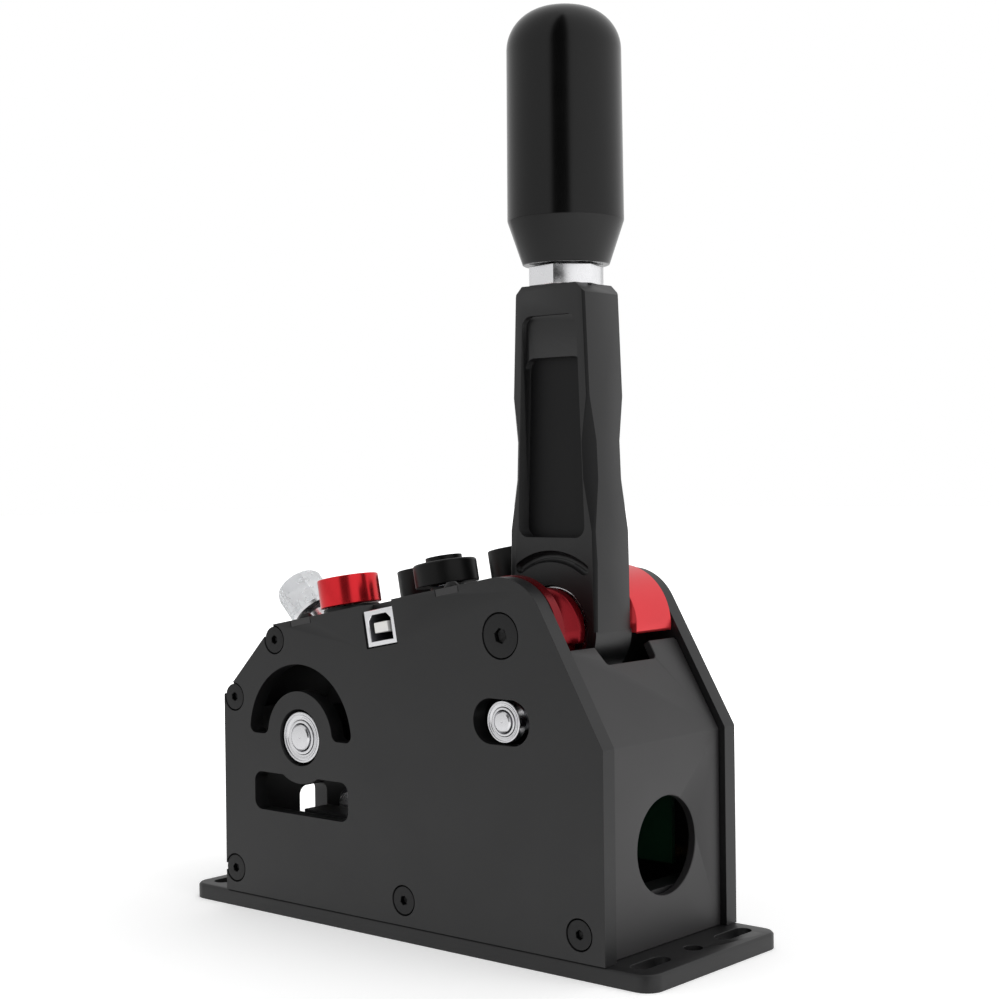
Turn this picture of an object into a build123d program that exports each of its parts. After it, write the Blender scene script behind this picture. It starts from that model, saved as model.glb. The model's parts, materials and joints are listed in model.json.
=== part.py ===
"""Twin-plate lever unit of a driving rig: a tilting shift lever between two thick side plates.

The lever turns on a fixed pivot shaft. Its tail carries a cross pin with a track roller in each side
plate's oval slot, and two link plates that lead back to a rocker on a shaft in two small ball bearings.
Frame: +Z up, +X to the front panel, -Y to the plate with the data socket, origin under the base's middle.
"""
import os
from math import atan2, cos, degrees, hypot, pi, radians, sin

from build123d import *

# Base plate
base_length = 185.9
base_width = 63.8
base_thickness = 4.8
base_corner_r = 5.2
rear_flange = 17.1
base_edge_bevel = 0.6
base_slot_width = 5.5
base_slot_length = 15.0
base_slot_y = 20.1
front_slot_inset = 8.6
rear_slot_inset = 6.8
base_hole_r = 2.75

# Side plates
plate_length = 153.7
plate_thickness = 5.2
rear_height = 67.9
pivot_from_rear = 117.8
pivot_height = 92.34
nose_r = 16.5
cover_angle = 10.6
front_angle = 30.0
rear_axis_from_rear = 35.17
rear_axis_height = 56.74
arc_slot_inner_r = 14.4
arc_slot_width = 8.4
arc_slot_corner_r = 2.4
window_rear = 14.3
window_front = 56.2
window_low = 32.6
window_high = 44.6
window_corner_r = 3.2
tail_length = 24.3
oval_slot_height = 13.0
oval_slot_length = 20.8

# Countersunk screws, first the ones that hold the plates, then the pair on the pivot shaft
side_screw_r = 2.0
side_screw_head_r = 4.45
side_screw_length = 14.0
side_screw_key = 2.5
pivot_screw_r = 3.0
pivot_screw_head_r = 6.6
pivot_screw_length = 18.0
pivot_screw_key = 4.0
screw_rim = 0.4
screw_sink = 0.15
screw_seat_gap = 0.12
key_depth = 1.6
rear_low_screw_from_rear = 4.45
low_screw_height = 12.3
middle_screw_from_rear = 79.0
front_screw_from_rear = 144.89
bevel_screw_ends = 3.1
bevel_screw_depth = 3.75

# Plates and blocks between the side plates
slip_gap = 0.2
run_gap = 0.05
rear_plate_thickness = 6.0
rear_plate_top = 60.5
rear_opening_width = 12.4
rear_opening_low = 13.0
rear_opening_high = 35.3
rear_opening_corner_r = 3.0
bevel_thickness = 7.0
bevel_inset = 0.3
block_width = 7.6
base_screw_r = 1.5
base_screw_head_r = 2.9
base_screw_length = 11.0
base_screw_key = 2.0
base_screw_y = 13.5

# Front panel, one bent sheet
panel_thickness = 2.5
panel_recess = 2.0
panel_top = 88.6
panel_notch_top_half = 12.9
panel_notch_slant = 2.2
panel_notch_depth = 5.7
panel_notch_corner_r = 1.6
panel_corner_cut = 0.6
cable_hole_r = 14.0
cable_hole_height = 32.5

# Top cover, one sheet with four tabs
cover_thickness = 2.0
cover_front = 82.2
cover_rear = 1.6
tab_length = 8.8
tab_rear = 12.7
tab_pitch = 62.5
cover_notch_depth = 8.4
cover_screw_r = 1.25
cover_screw_head_r = 2.3
cover_screw_head = 1.5
cover_screw_length = 7.0
cover_screw_key = 1.5
cover_screw_key_depth = 1.0

# Data socket and its board
socket_along = 46.3
socket_width = 12.2
socket_height = 10.9
socket_depth = 16.2
socket_wall = 0.6
socket_recess = 0.5
socket_gap = 0.35
socket_mouth_width = 9.2
socket_mouth_height = 7.9
socket_mouth_bevel = 1.7
tongue_width = 5.6
tongue_height = 3.1
tongue_setback = 0.2
board_thickness = 1.6
port_board_length = 30.0
port_board_width = 24.0
pillar_r = 2.2
port_pillar_inset = 3.2

# Knobs on the cover
knob_rear_along = 21.3
knob_pitch = 41.6
rear_trim_shift = 1.5
knob_offset_y = 17.4
knob_r = 9.6
knob_lift = 2.0
red_knob_height = 9.0
black_knob_height = 10.0
dial_height = 7.0
dial_fillet = 1.6
dial_cap_r = 5.5
dial_cap_height = 2.8
dial_cap_sink = 1.2
knob_fillet = 0.35
knob_bore_r = 3.0
knob_bore_depth = 6.5
collar_r = 5.2
sensor_side = 14.6
sensor_height = 8.0
sensor_neck_r = 3.6

# Force adjuster: screw, travelling nut and the two springs on the rocker's horn
force_screw_r = 2.4
force_screw_length = 19.0
force_flange_height = 1.4
clip_height = 1.0
clip_r = 4.8
nut_side = 11.0
nut_height = 5.0
nut_start = 5.5
spring_r = 4.6
spring_wire_r = 0.65
spring_turns = 6
lower_spring_turns = 5
lower_spring_length = 15.6
spring_steps_per_turn = 4
spring_seat_gap = 0.05
gap_points_per_step = 4

# Rocker on the rear shaft
rear_shaft_r = 4.0
rear_bearing_r = 8.0
rear_bearing_core_r = 5.3
rear_bearing_width = 5.0
shaft_end_recess = 0.3
shaft_bevel = 0.5
shield_rim_share = 0.25
shield_depth_share = 0.05
rocker_hub_r = 9.0
rocker_disc_r = 17.0
rocker_half_width = 6.0
rocker_arm_width = 13.0
horn_height = 7.0
horn_width = 11.0
horn_nose = 6.2
rocker_pin_r = 3.0
rocker_pin_head_r = 4.5
rocker_pin_head = 1.0
mode_notch_r = 12.4
mode_notch_half_angle = 25.0
magnet_r = 7.6
magnet_width = 3.6
sleeve_wall = 1.6
sensor_board_length = 34.0
sensor_board_height = 20.0
sensor_board_gap = 2.0
sensor_chip_side = 4.0
sensor_chip_height = 1.0
magnet_gap = 0.8

# Links between the lever's tail and the rocker
link_thickness = 3.0
link_width = 12.0
link_side_gap = 0.4
link_hole_gap = 0.08
link_waist = 8.0

# Lever
lever_half_thickness = 8.5
lever_top = 192.6
lever_top_half = 12.9
lever_low_half = 16.1
lever_low_height = 112.0
lever_top_bevel = 2.9
lever_edge_bevel = 0.8
waist_bevel = 3.1
waist_top = 160.0
waist_high = 147.0
waist_low = 136.0
waist_bottom = 121.0
pocket_depth_shallow = 2.0
pocket_depth_deep = 4.6
pocket_top = 183.8
pocket_step = 171.6
pocket_bottom = 119.2
pocket_top_half = 10.0
pocket_low_half = 12.4
pocket_corner_r = 3.4
groove_r = 21.4
groove_width = 3.4
groove_half_angle = 33.5
tail_half_thickness = 6.0
tail_half_width = 8.0
crosspin_r = 3.0
roller_r = 6.0
roller_core_r = 4.1
roller_width = 4.0
roller_inset = 0.5

# Pivot
pivot_shaft_r = 5.0
lever_bearing_r = 13.0
lever_bearing_core_r = 7.4
lever_bearing_width = 8.0
lever_bearing_recess = 0.4
spacer_r = 17.6
spacer_flange = 3.2
spool_neck_r = 10.6
spool_ring_r = 12.4
spool_ring = 2.6
spacer_lip = 0.9
far_spacer_flat = 2.4
port_spacer_flat = 3.0
spacer_step = 8.6

# Grip, its stud and the hexagonal collar nut
collar_nut_flats = 19.2
collar_nut_height = 5.7
grip_gap = 0.4
grip_foot_r = 12.7
grip_r = 17.1
grip_cone_height = 13.0
grip_top_r = 16.8
grip_top = 274.0
grip_dome_height = 12.5
grip_crown_r = 3.5
stud_r = 5.0
stud_length_up = 40.0
stud_length_down = 16.0

# Index knob on the bevelled rear plate
index_along = 24.5
index_knob_r = 8.2
index_knob_height = 12.4
index_knob_fillet = 2.2
index_facets = 6
index_facet_turn = 30.0
index_rim_r = 8.3
index_rim_height = 1.4
index_stand = 9.7
index_collar_r = 4.0
index_bush_r = 5.6
index_bush_foot_r = 8.0
index_bush_foot = 2.4
index_pin_r = 2.5
index_pin_depth = 20.9
index_lift = 0.6

# Spring bracket and control board
bracket_half_width = 5.2
bracket_web = 6.0
bracket_foot_height = 4.0
bracket_foot_front = 13.0
bracket_bar_high = 32.4
bracket_bar_height = 4.6
bracket_bar_reach = 27.0
bracket_shelf = 3.0
control_board_front = 138.4
control_board_length = 58.0
control_board_low = 22.0
control_board_high = 50.0
control_board_gap = 4.0
control_chip_shares = (0.25, 0.6)
chip_side = 9.0
chip_height = 1.6

cut_overrun = 1.0

# Places worked out from the sizes above
rear_x = -base_length / 2 + rear_flange
front_x = rear_x + plate_length
half_width = base_width / 2
inner_half = half_width - plate_thickness
pivot_x = rear_x + pivot_from_rear
axis_x = rear_x + rear_axis_from_rear
tail_z = pivot_height - tail_length
rocker_pin_z = rear_axis_height - tail_length
cover_normal = (-sin(radians(cover_angle)), cos(radians(cover_angle)))
front_normal = (cos(radians(front_angle)), sin(radians(front_angle)))
bevel_length_x = (
    nose_r - (rear_x - pivot_x) * cover_normal[0] - (rear_height - pivot_height) * cover_normal[1]
) / (cover_normal[0] + cover_normal[1])
bevel_top = (rear_x + bevel_length_x, rear_height + bevel_length_x)
bevel_length = bevel_length_x * hypot(1, 1)
cover_plane = Plane(
    origin=(bevel_top[0], 0, bevel_top[1]),
    x_dir=(cover_normal[1], 0, -cover_normal[0]),
    z_dir=(cover_normal[0], 0, cover_normal[1]),
)
bevel_plane = Plane(origin=(rear_x, 0, rear_height), x_dir=(1, 0, 1), z_dir=(-1, 0, 1))
rear_mid_x = rear_x + rear_low_screw_from_rear


def slab(face, y_low, y_high):
    """A face drawn in X and Z, made solid from one Y to another."""
    return extrude(Plane.XZ.offset(-y_high) * face, amount=y_high - y_low)


def block(x_low, x_high, y_low, y_high, z_low, z_high):
    size = (x_high - x_low, y_high - y_low, z_high - z_low)
    middle = ((x_low + x_high) / 2, (y_low + y_high) / 2, (z_low + z_high) / 2)
    return Pos(*middle) * Box(*size)


def rod_y(x, z, radius, y_low, y_high):
    """A round bar along Y."""
    return slab(Pos(x, z) * Circle(radius), y_low, y_high)


def tube_y(x, z, radius, bore_r, y_low, y_high):
    return slab(Pos(x, z) * (Circle(radius) - Circle(bore_r)), y_low, y_high)


def post(plane, along, across, low, high, radius):
    """A round bar square to a plane, between two heights over it."""
    return extrude(plane.offset(low) * Pos(along, across) * Circle(radius), amount=high - low)


def bar(plane, along, across, low, high, face):
    return extrude(plane.offset(low) * Pos(along, across) * face, amount=high - low)


def mirrored(solid):
    """The same piece on the other side of the lever."""
    return mirror(solid, about=Plane.XZ)


def both(solid):
    return [solid, mirrored(solid)]


def line_point(normal, distance, x):
    """The height at x of the line that lies at a distance from the pivot."""
    return pivot_height + (distance - (x - pivot_x) * normal[0]) / normal[1]


def plate_outline():
    top_tangent = (pivot_x + nose_r * cover_normal[0], pivot_height + nose_r * cover_normal[1])
    front_tangent = (pivot_x + nose_r * front_normal[0], pivot_height + nose_r * front_normal[1])
    mid_angle = radians((90 + cover_angle + front_angle) / 2)
    crown = (pivot_x + nose_r * cos(mid_angle), pivot_height + nose_r * sin(mid_angle))
    foot_rear = (rear_x, base_thickness)
    foot_front = (front_x, base_thickness)
    kink = (front_x, line_point(front_normal, nose_r, front_x))
    edges = Polyline(foot_front, foot_rear, (rear_x, rear_height), bevel_top, top_tangent)
    edges += ThreePointArc(top_tangent, crown, front_tangent)
    edges += Polyline(front_tangent, kink, foot_front)
    return make_face(edges)


def arc_slot():
    """Half a ring over the rear bearing, with rounded ends."""
    outer_r = arc_slot_inner_r + arc_slot_width
    ring = Circle(outer_r) - Circle(arc_slot_inner_r)
    upper = Pos(0, outer_r / 2) * Rectangle(2 * outer_r, outer_r)
    half_ring = ring & upper
    low_corners = half_ring.vertices().group_by(Axis.Y)[0]
    return Pos(axis_x, rear_axis_height) * fillet(low_corners, arc_slot_corner_r)


def window():
    """The low window, its upper edge hollowed round the bearing's boss."""
    width = window_front - window_rear
    height = window_high - window_low
    centre = (rear_x + (window_rear + window_front) / 2, (window_low + window_high) / 2)
    frame = Pos(*centre) * RectangleRounded(width, height, window_corner_r)
    return frame - Pos(axis_x, rear_axis_height) * Circle(arc_slot_inner_r)


def side_screw_places():
    """Middles of the countersunk screws in one plate, as X and Z."""
    low = [(rear_x + place, low_screw_height) for place in
           (rear_low_screw_from_rear, middle_screw_from_rear, front_screw_from_rear)]
    ends = (bevel_screw_ends, bevel_length - bevel_screw_ends)
    upper = [(bevel_plane.offset(-bevel_screw_depth) * Pos(along, 0)).position for along in ends]
    return low + [(place.X, place.Z) for place in upper]


def countersink(x, z, radius, head_r, gap):
    """What a countersunk screw takes out of a plate's outer face, on the socket's side."""
    outer = -half_width
    head = head_r + gap
    shank = radius + gap
    depth = head - shank
    rim = outer + screw_rim + gap
    straight = rod_y(x, z, head, outer - cut_overrun, rim)
    through = rod_y(x, z, shank, outer, outer + plate_thickness + cut_overrun)
    cone = Plane(origin=(x, rim + depth / 2, z), z_dir=(0, -1, 0)) * Cone(shank, head, depth)
    return straight + through + cone


def countersunk_screw(x, z, radius, head_r, length, key):
    outer = -half_width + screw_sink
    rim = outer + screw_rim
    depth = head_r - radius
    head = rod_y(x, z, head_r, outer, rim)
    cone = Plane(origin=(x, rim + depth / 2, z), z_dir=(0, -1, 0)) * Cone(radius, head_r, depth)
    shank = rod_y(x, z, radius, rim, outer + length)
    socket_face = Pos(x, z) * RegularPolygon(key / 2, 6, major_radius=False)
    return head + cone + shank - slab(socket_face, outer - cut_overrun, outer + key_depth)


def tab_places():
    return [tab_rear, tab_rear + tab_pitch]


def side_plate(with_socket):
    """A side plate on the socket's side; the far one is its mirror image without the socket's cut."""
    plate = slab(plate_outline(), -half_width, -inner_half)
    openings = arc_slot() + window()
    openings += Pos(pivot_x, tail_z) * SlotOverall(oval_slot_length, oval_slot_height)
    openings += Pos(axis_x, rear_axis_height) * Circle(rear_bearing_r)
    plate -= slab(openings, -half_width - cut_overrun, -inner_half + cut_overrun)
    for x, z in side_screw_places():
        plate -= countersink(x, z, side_screw_r, side_screw_head_r, screw_seat_gap)
    plate -= countersink(pivot_x, pivot_height, pivot_screw_r, pivot_screw_head_r, screw_seat_gap)
    across = -half_width + plate_thickness / 2
    for along in tab_places():
        notch = Rectangle(tab_length + 2 * slip_gap, plate_thickness + 2 * cut_overrun)
        plate -= bar(cover_plane, along, across, -cover_thickness, cut_overrun, notch)
        plate -= post(cover_plane, along, across, -cover_screw_length, 0, cover_screw_r)
    if with_socket:
        width = socket_width + 2 * socket_gap
        low = -cover_thickness - socket_height - socket_gap
        cut = Rectangle(width, plate_thickness + 2 * cut_overrun)
        plate -= bar(cover_plane, socket_along, across, low, cut_overrun, cut)
    return plate


def base_hole_places():
    """Slot middles of the base as X and Y, the front pair and the rear pair."""
    front = base_length / 2 - front_slot_inset
    rear = -base_length / 2 + rear_slot_inset
    return [(x, y) for x in (front, rear) for y in (-base_slot_y, base_slot_y)]


def block_places():
    return [rear_x + middle_screw_from_rear, rear_x + front_screw_from_rear]


def base_screw_places():
    places = [rear_mid_x] + block_places()
    return [(x, y) for x in places for y in (-base_screw_y, base_screw_y)]


def base_screw(x, y, gap):
    """A countersunk screw from below; with a gap it is the hole that takes it."""
    head = base_screw_head_r + gap
    shank = base_screw_r + gap
    start = -cut_overrun if gap else screw_sink
    rim = screw_sink + screw_rim
    solid = Pos(x, y, (start + rim) / 2) * Cylinder(head, rim - start)
    solid += Pos(x, y, rim + (head - shank) / 2) * Cone(head, shank, head - shank)
    return solid + Pos(x, y, (rim + base_screw_length) / 2) * Cylinder(shank, base_screw_length - rim)


def base_plate():
    plate = extrude(RectangleRounded(base_length, base_width, base_corner_r), amount=base_thickness)
    plate = chamfer(plate.edges().group_by(Axis.Z)[-1], base_edge_bevel)
    for x, y in base_hole_places():
        slot = Pos(x, y) * SlotOverall(base_slot_length, base_slot_width, rotation=90)
        plate -= extrude(slot, amount=base_thickness + cut_overrun)
    for x in (base_length / 2 - front_slot_inset, -base_length / 2 + rear_slot_inset):
        plate -= extrude(Pos(x, 0) * Circle(base_hole_r), amount=base_thickness + cut_overrun)
    for x, y in base_screw_places():
        plate -= base_screw(x, y, screw_seat_gap)
    return plate


def base_screws():
    screws = []
    for x, y in base_screw_places():
        key = Pos(x, y) * RegularPolygon(base_screw_key / 2, 6, major_radius=False)
        screws.append(base_screw(x, y, 0) - extrude(key, amount=screw_sink + key_depth))
    return screws


def side_tapped(solid, places):
    """Cuts the threaded ends for the side screws into a piece between the plates."""
    for x, z in places:
        hole = rod_y(x, z, side_screw_r, -half_width, -half_width + side_screw_length + screw_sink)
        solid -= hole
        solid -= mirrored(hole)
    return solid


def base_tapped(solid, x):
    for y in (-base_screw_y, base_screw_y):
        solid -= Pos(x, y, base_screw_length / 2) * Cylinder(base_screw_r, base_screw_length)
    return solid


def rear_plate():
    half = rear_plate_thickness / 2
    ends = (rear_mid_x - half, rear_mid_x + half)
    plate = block(*ends, -inner_half, inner_half, base_thickness, rear_plate_top)
    height = rear_opening_high - rear_opening_low
    opening = RectangleRounded(rear_opening_width, height, rear_opening_corner_r)
    middle = (rear_opening_high + rear_opening_low) / 2
    frame = Plane.YZ.offset(rear_mid_x - half - cut_overrun)
    plate -= extrude(frame * Pos(0, middle) * opening, amount=rear_plate_thickness + 2 * cut_overrun)
    plate = side_tapped(plate, side_screw_places()[:1])
    return base_tapped(plate, rear_mid_x)


def bevel_plate():
    face = Rectangle(bevel_length - 2 * bevel_inset, 2 * inner_half)
    plate = bar(bevel_plane, bevel_length / 2, 0, -bevel_inset - bevel_thickness, -bevel_inset, face)
    plate -= post(bevel_plane, index_along, 0, -bevel_thickness - cut_overrun, cut_overrun, index_bush_r)
    return side_tapped(plate, side_screw_places()[3:])


def base_blocks():
    blocks = []
    top = 2 * low_screw_height - base_thickness
    for x, screw in zip(block_places(), side_screw_places()[1:3]):
        solid = block(x - block_width / 2, x + block_width / 2, -inner_half, inner_half, base_thickness, top)
        blocks.append(base_tapped(side_tapped(solid, [screw]), x))
    return blocks


def panel_profile():
    """The bent sheet seen from the side."""
    outer = nose_r - panel_recess
    inner = outer - panel_thickness
    outer_x = front_x - panel_recess
    inner_x = outer_x - panel_thickness
    top_x = pivot_x + (outer - (panel_top - pivot_height) * front_normal[1]) / front_normal[0]
    top_in = (top_x - panel_thickness * front_normal[0], panel_top - panel_thickness * front_normal[1])
    return make_face(Polyline(
        (outer_x, base_thickness),
        (outer_x, line_point(front_normal, outer, outer_x)),
        (top_x, panel_top),
        top_in,
        (inner_x, line_point(front_normal, inner, inner_x)),
        (inner_x, base_thickness),
        close=True,
    ))


def front_panel():
    half = inner_half - slip_gap
    panel = slab(panel_profile(), -half, half)
    outer = nose_r - panel_recess
    top_x = pivot_x + (outer - (panel_top - pivot_height) * front_normal[1]) / front_normal[0]
    slope = Plane(
        origin=(top_x, 0, panel_top),
        x_dir=(0, 1, 0),
        z_dir=(front_normal[0], 0, front_normal[1]),
    )
    notch = make_face(Polyline(
        (-panel_notch_top_half, cut_overrun),
        (-panel_notch_top_half, 0),
        (panel_notch_slant - panel_notch_top_half, -panel_notch_depth),
        (panel_notch_top_half, -panel_notch_depth),
        (panel_notch_top_half, 0),
        (panel_notch_top_half, cut_overrun),
        close=True,
    ))
    notch = fillet(notch.vertices().group_by(Axis.Y)[0], panel_notch_corner_r)
    for side in (-1, 1):
        notch += Pos(side * half, 0) * Rectangle(2 * panel_corner_cut, 2 * panel_corner_cut)
    depth = panel_thickness + cut_overrun
    panel -= extrude(slope.offset(-depth) * notch, amount=depth + cut_overrun)
    hole = Plane.YZ.offset(front_x - panel_recess - depth) * Pos(0, cable_hole_height) * Circle(cable_hole_r)
    return panel - extrude(hole, amount=depth + cut_overrun)


def knob_places():
    """Along and across the cover: force, travel, rear trim and front trim."""
    front = knob_rear_along + knob_pitch
    return {
        "force": (knob_rear_along, -knob_offset_y),
        "travel": (front, -knob_offset_y),
        "rear_trim": (knob_rear_along + rear_trim_shift, knob_offset_y),
        "front_trim": (front, knob_offset_y),
    }


def top_cover():
    width = 2 * (inner_half - slip_gap)
    length = cover_front - cover_rear
    face = Pos((cover_front + cover_rear) / 2, 0) * Rectangle(length, width)
    for along in tab_places():
        face += Pos(along, 0) * Rectangle(tab_length, base_width)
    notch = Pos(cover_front, 0) * Rectangle(2 * cover_notch_depth, 2 * panel_notch_top_half)
    face -= notch
    inner = face.vertices().filter_by_position(
        Axis.X, cover_front - cover_notch_depth - slip_gap, cover_front - cover_notch_depth + slip_gap
    )
    face = fillet(inner, panel_notch_corner_r)
    for along in tab_places():
        for side in (-1, 1):
            face -= Pos(along, side * (half_width - plate_thickness / 2)) * Circle(cover_screw_r)
    for name, (along, across) in knob_places().items():
        hole_r = sensor_neck_r if name != "force" else collar_r - force_flange_height
        face -= Pos(along, across) * Circle(hole_r)
    return bar(cover_plane, 0, 0, -cover_thickness, 0, face)


def cover_screws():
    screws = []
    for along in tab_places():
        across = -half_width + plate_thickness / 2
        head = post(cover_plane, along, across, 0, cover_screw_head, cover_screw_head_r)
        head = fillet(head.edges().filter_by(GeomType.CIRCLE).sort_by(Axis.Z)[-1], cover_screw_head / 2)
        screw = head + post(cover_plane, along, across, -cover_screw_length, 0, cover_screw_r)
        key = RegularPolygon(cover_screw_key / 2, 6, major_radius=False)
        screw -= bar(cover_plane, along, across, cover_screw_head - cover_screw_key_depth,
                     cover_screw_head + cut_overrun, key)
        screws += both(screw)
    return screws


def socket_parts():
    """The data socket's shell and tongue, in the cover's plane, mouth towards the plate's outer face."""
    mouth_y = -half_width + socket_recess
    middle = -cover_thickness - socket_height / 2
    centre = (cover_plane.offset(middle) * Pos(socket_along, mouth_y)).position
    frame = Plane(origin=centre, x_dir=cover_plane.x_dir, z_dir=(0, -1, 0))
    shell = extrude(frame * Rectangle(socket_width, socket_height), amount=-socket_depth)
    mouth = Rectangle(socket_mouth_width, socket_mouth_height)
    mouth = chamfer(mouth.vertices().group_by(Axis.Y)[-1], socket_mouth_bevel)
    shell -= extrude(frame * mouth, amount=-(socket_depth - socket_wall))
    tongue_base = frame.offset(-(socket_depth - socket_wall))
    length = socket_depth - socket_wall - tongue_setback
    tongue = extrude(tongue_base * Rectangle(tongue_width, tongue_height), amount=length)
    return shell, tongue


def port_board():
    """The board under the socket, hung from the cover on four pillars."""
    top = -cover_thickness - socket_height
    across = -inner_half + port_board_width / 2 + slip_gap
    face = Rectangle(port_board_length, port_board_width)
    board = bar(cover_plane, socket_along, across, top - board_thickness, top, face)
    pillars = []
    for side in (-1, 1):
        along = socket_along + side * (port_board_length / 2 - port_pillar_inset)
        place = across + port_board_width / 2 - port_pillar_inset
        pillars.append(post(cover_plane, along, place, top, -cover_thickness, pillar_r))
    return board, pillars


def knob(name, height):
    along, across = knob_places()[name]
    solid = post(cover_plane, along, across, knob_lift, knob_lift + height, knob_r)
    solid = fillet(solid.edges().filter_by(GeomType.CIRCLE), knob_fillet)
    return solid - post(cover_plane, along, across, knob_lift, knob_lift + knob_bore_depth, knob_bore_r)


def force_knob():
    return knob("force", red_knob_height)


def trim_knob(name):
    return knob(name, black_knob_height)


def travel_dial():
    along, across = knob_places()["travel"]
    solid = bar(cover_plane, along, across, knob_lift, knob_lift + dial_height, Circle(knob_r))
    solid = fillet(solid.edges().filter_by(GeomType.CIRCLE).sort_by(Axis.Z)[-1], dial_fillet)
    top = knob_lift + dial_height
    solid -= post(cover_plane, along, across, top - dial_cap_sink, top + cut_overrun, dial_cap_r)
    return solid - post(cover_plane, along, across, knob_lift, top - dial_cap_sink, knob_bore_r)


def travel_dial_cap():
    along, across = knob_places()["travel"]
    low = knob_lift + dial_height - dial_cap_sink
    return post(cover_plane, along, across, low, low + dial_cap_height, dial_cap_r)


def dial_shaft(name):
    along, across = knob_places()[name]
    low = -cover_thickness - sensor_height / 2
    high = knob_lift + (knob_bore_depth if name != "travel" else dial_height - dial_cap_sink)
    return post(cover_plane, along, across, low, high, knob_bore_r)


def dial_sensor(name):
    """A rotary sensor under the cover: square can, round neck, and its nut above the sheet."""
    along, across = knob_places()[name]
    can = bar(cover_plane, along, across, -cover_thickness - sensor_height, -cover_thickness,
              Rectangle(sensor_side, sensor_side))
    neck = post(cover_plane, along, across, -cover_thickness, knob_lift - slip_gap, sensor_neck_r)
    bore_low = -cover_thickness - sensor_height / 2
    bore = post(cover_plane, along, across, bore_low, knob_lift, knob_bore_r + run_gap)
    return can + neck - bore


def dial_nut(name):
    along, across = knob_places()[name]
    ring = Circle(collar_r) - Circle(sensor_neck_r)
    return bar(cover_plane, along, across, 0, knob_lift - 2 * slip_gap, ring)


def force_bush():
    """The flanged bush that carries the force adjuster's screw in the cover."""
    along, across = knob_places()["force"]
    neck_r = collar_r - force_flange_height
    solid = post(cover_plane, along, across, 0, knob_lift - 2 * slip_gap, collar_r)
    solid += post(cover_plane, along, across, -cover_thickness - force_flange_height, 0, neck_r)
    bore = post(cover_plane, along, across, -nut_start, knob_lift, force_screw_r + run_gap)
    return solid - bore


def force_screw():
    along, across = knob_places()["force"]
    low = -cover_thickness - force_flange_height
    solid = post(cover_plane, along, across, -cover_thickness - force_screw_length, low, force_screw_r)
    solid += post(cover_plane, along, across, low - clip_height - slip_gap, low - slip_gap, clip_r)
    solid += post(cover_plane, along, across, low, knob_lift, force_screw_r)
    return solid + post(cover_plane, along, across, knob_lift, knob_lift + knob_bore_depth, knob_bore_r)


def nut_top():
    return -cover_thickness - nut_start


def preload_nut():
    along, across = knob_places()["force"]
    square = Rectangle(nut_side, nut_side)
    face = chamfer(square.vertices(), force_flange_height) - Circle(force_screw_r + run_gap)
    return bar(cover_plane, along, across, nut_top() - nut_height, nut_top(), face)


def horn_place():
    """The horn's reach from the rear shaft, and its middle's level over the cover's plane."""
    along, across = knob_places()["force"]
    top = (cover_plane * Pos(along, across)).position
    dx = top.X - axis_x
    dz = top.Z - rear_axis_height
    reach = dx * cover_normal[1] - dz * cover_normal[0]
    height = dx * cover_normal[0] + dz * cover_normal[1]
    return reach, -height


def coil(low, high, turns, name):
    """A compression spring square to the cover: one round wire on a helix of quarter-turn biarcs."""
    along, across = knob_places()["force"]
    rise = high - low - 2 * spring_wire_r
    steps = turns * spring_steps_per_turn
    centre = spring_r
    slope = rise / (2 * pi * centre * turns)

    def at(step):
        angle = 2 * pi * step / spring_steps_per_turn
        return Vector(centre * cos(angle), centre * sin(angle), low + spring_wire_r + rise * step / steps)

    def direction(step):
        angle = 2 * pi * step / spring_steps_per_turn
        return Vector(-sin(angle), cos(angle), slope).normalized()

    path = []
    for step in range(steps):
        path += biarc(at(step), direction(step), at(step + 1), direction(step + 1))
    wire = Wire(path)
    start = Plane(origin=wire @ 0, z_dir=wire % 0)
    solid = sweep(start * Circle(spring_wire_r), path=wire)
    print(f"{name}: least gap between turns {least_gap(at, steps):.2f} mm")
    return cover_plane * Pos(along, across) * solid


def least_gap(at, steps):
    """The smallest clear distance between neighbouring turns, measured on points of the helix."""
    fine = spring_steps_per_turn * gap_points_per_step
    points = [at(index / gap_points_per_step) for index in range(steps * gap_points_per_step + 1)]
    nearest = min(
        (points[first] - points[second]).length
        for first in range(len(points))
        for second in range(first + fine // 2, len(points))
    )
    return nearest - 2 * spring_wire_r


def biarc(start, start_dir, end, end_dir):
    """Two arcs that join two points and keep both directions."""
    chord = end - start
    total = start_dir + end_dir
    dot = chord.dot(total)
    spread = 2 * (1 - start_dir.dot(end_dir))
    reach = (-dot + (dot * dot + spread * chord.dot(chord)) ** 0.5) / spread
    joint = (start + end + (start_dir - end_dir) * reach) * 0.5
    first = Edge.make_tangent_arc(start, start_dir, joint)
    second = Edge.make_tangent_arc(joint, first % 1, end)
    return [first, second]


def bearing(x, z, bore_r, core_r, outer_r, y_low, width):
    """A shielded ball bearing as its inner ring and its outer ring with the shields."""
    high = y_low + width
    core = tube_y(x, z, core_r, bore_r, y_low, high)
    shell = tube_y(x, z, outer_r, core_r + run_gap, y_low, high)
    ring_width = outer_r - core_r
    groove = Circle(outer_r - ring_width * shield_rim_share) - Circle(core_r)
    depth = width * shield_depth_share
    shell -= slab(Pos(x, z) * groove, y_low - cut_overrun, y_low + depth)
    shell -= slab(Pos(x, z) * groove, high - depth, high + cut_overrun)
    return core, shell


def rear_bearing():
    y_low = -inner_half - rear_bearing_width
    return bearing(axis_x, rear_axis_height, rear_shaft_r, rear_bearing_core_r, rear_bearing_r,
                   y_low, rear_bearing_width)


def lever_bearing():
    y_low = -lever_half_thickness + lever_bearing_recess
    return bearing(pivot_x, pivot_height, pivot_shaft_r, lever_bearing_core_r, lever_bearing_r,
                   y_low, lever_bearing_width)


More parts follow.
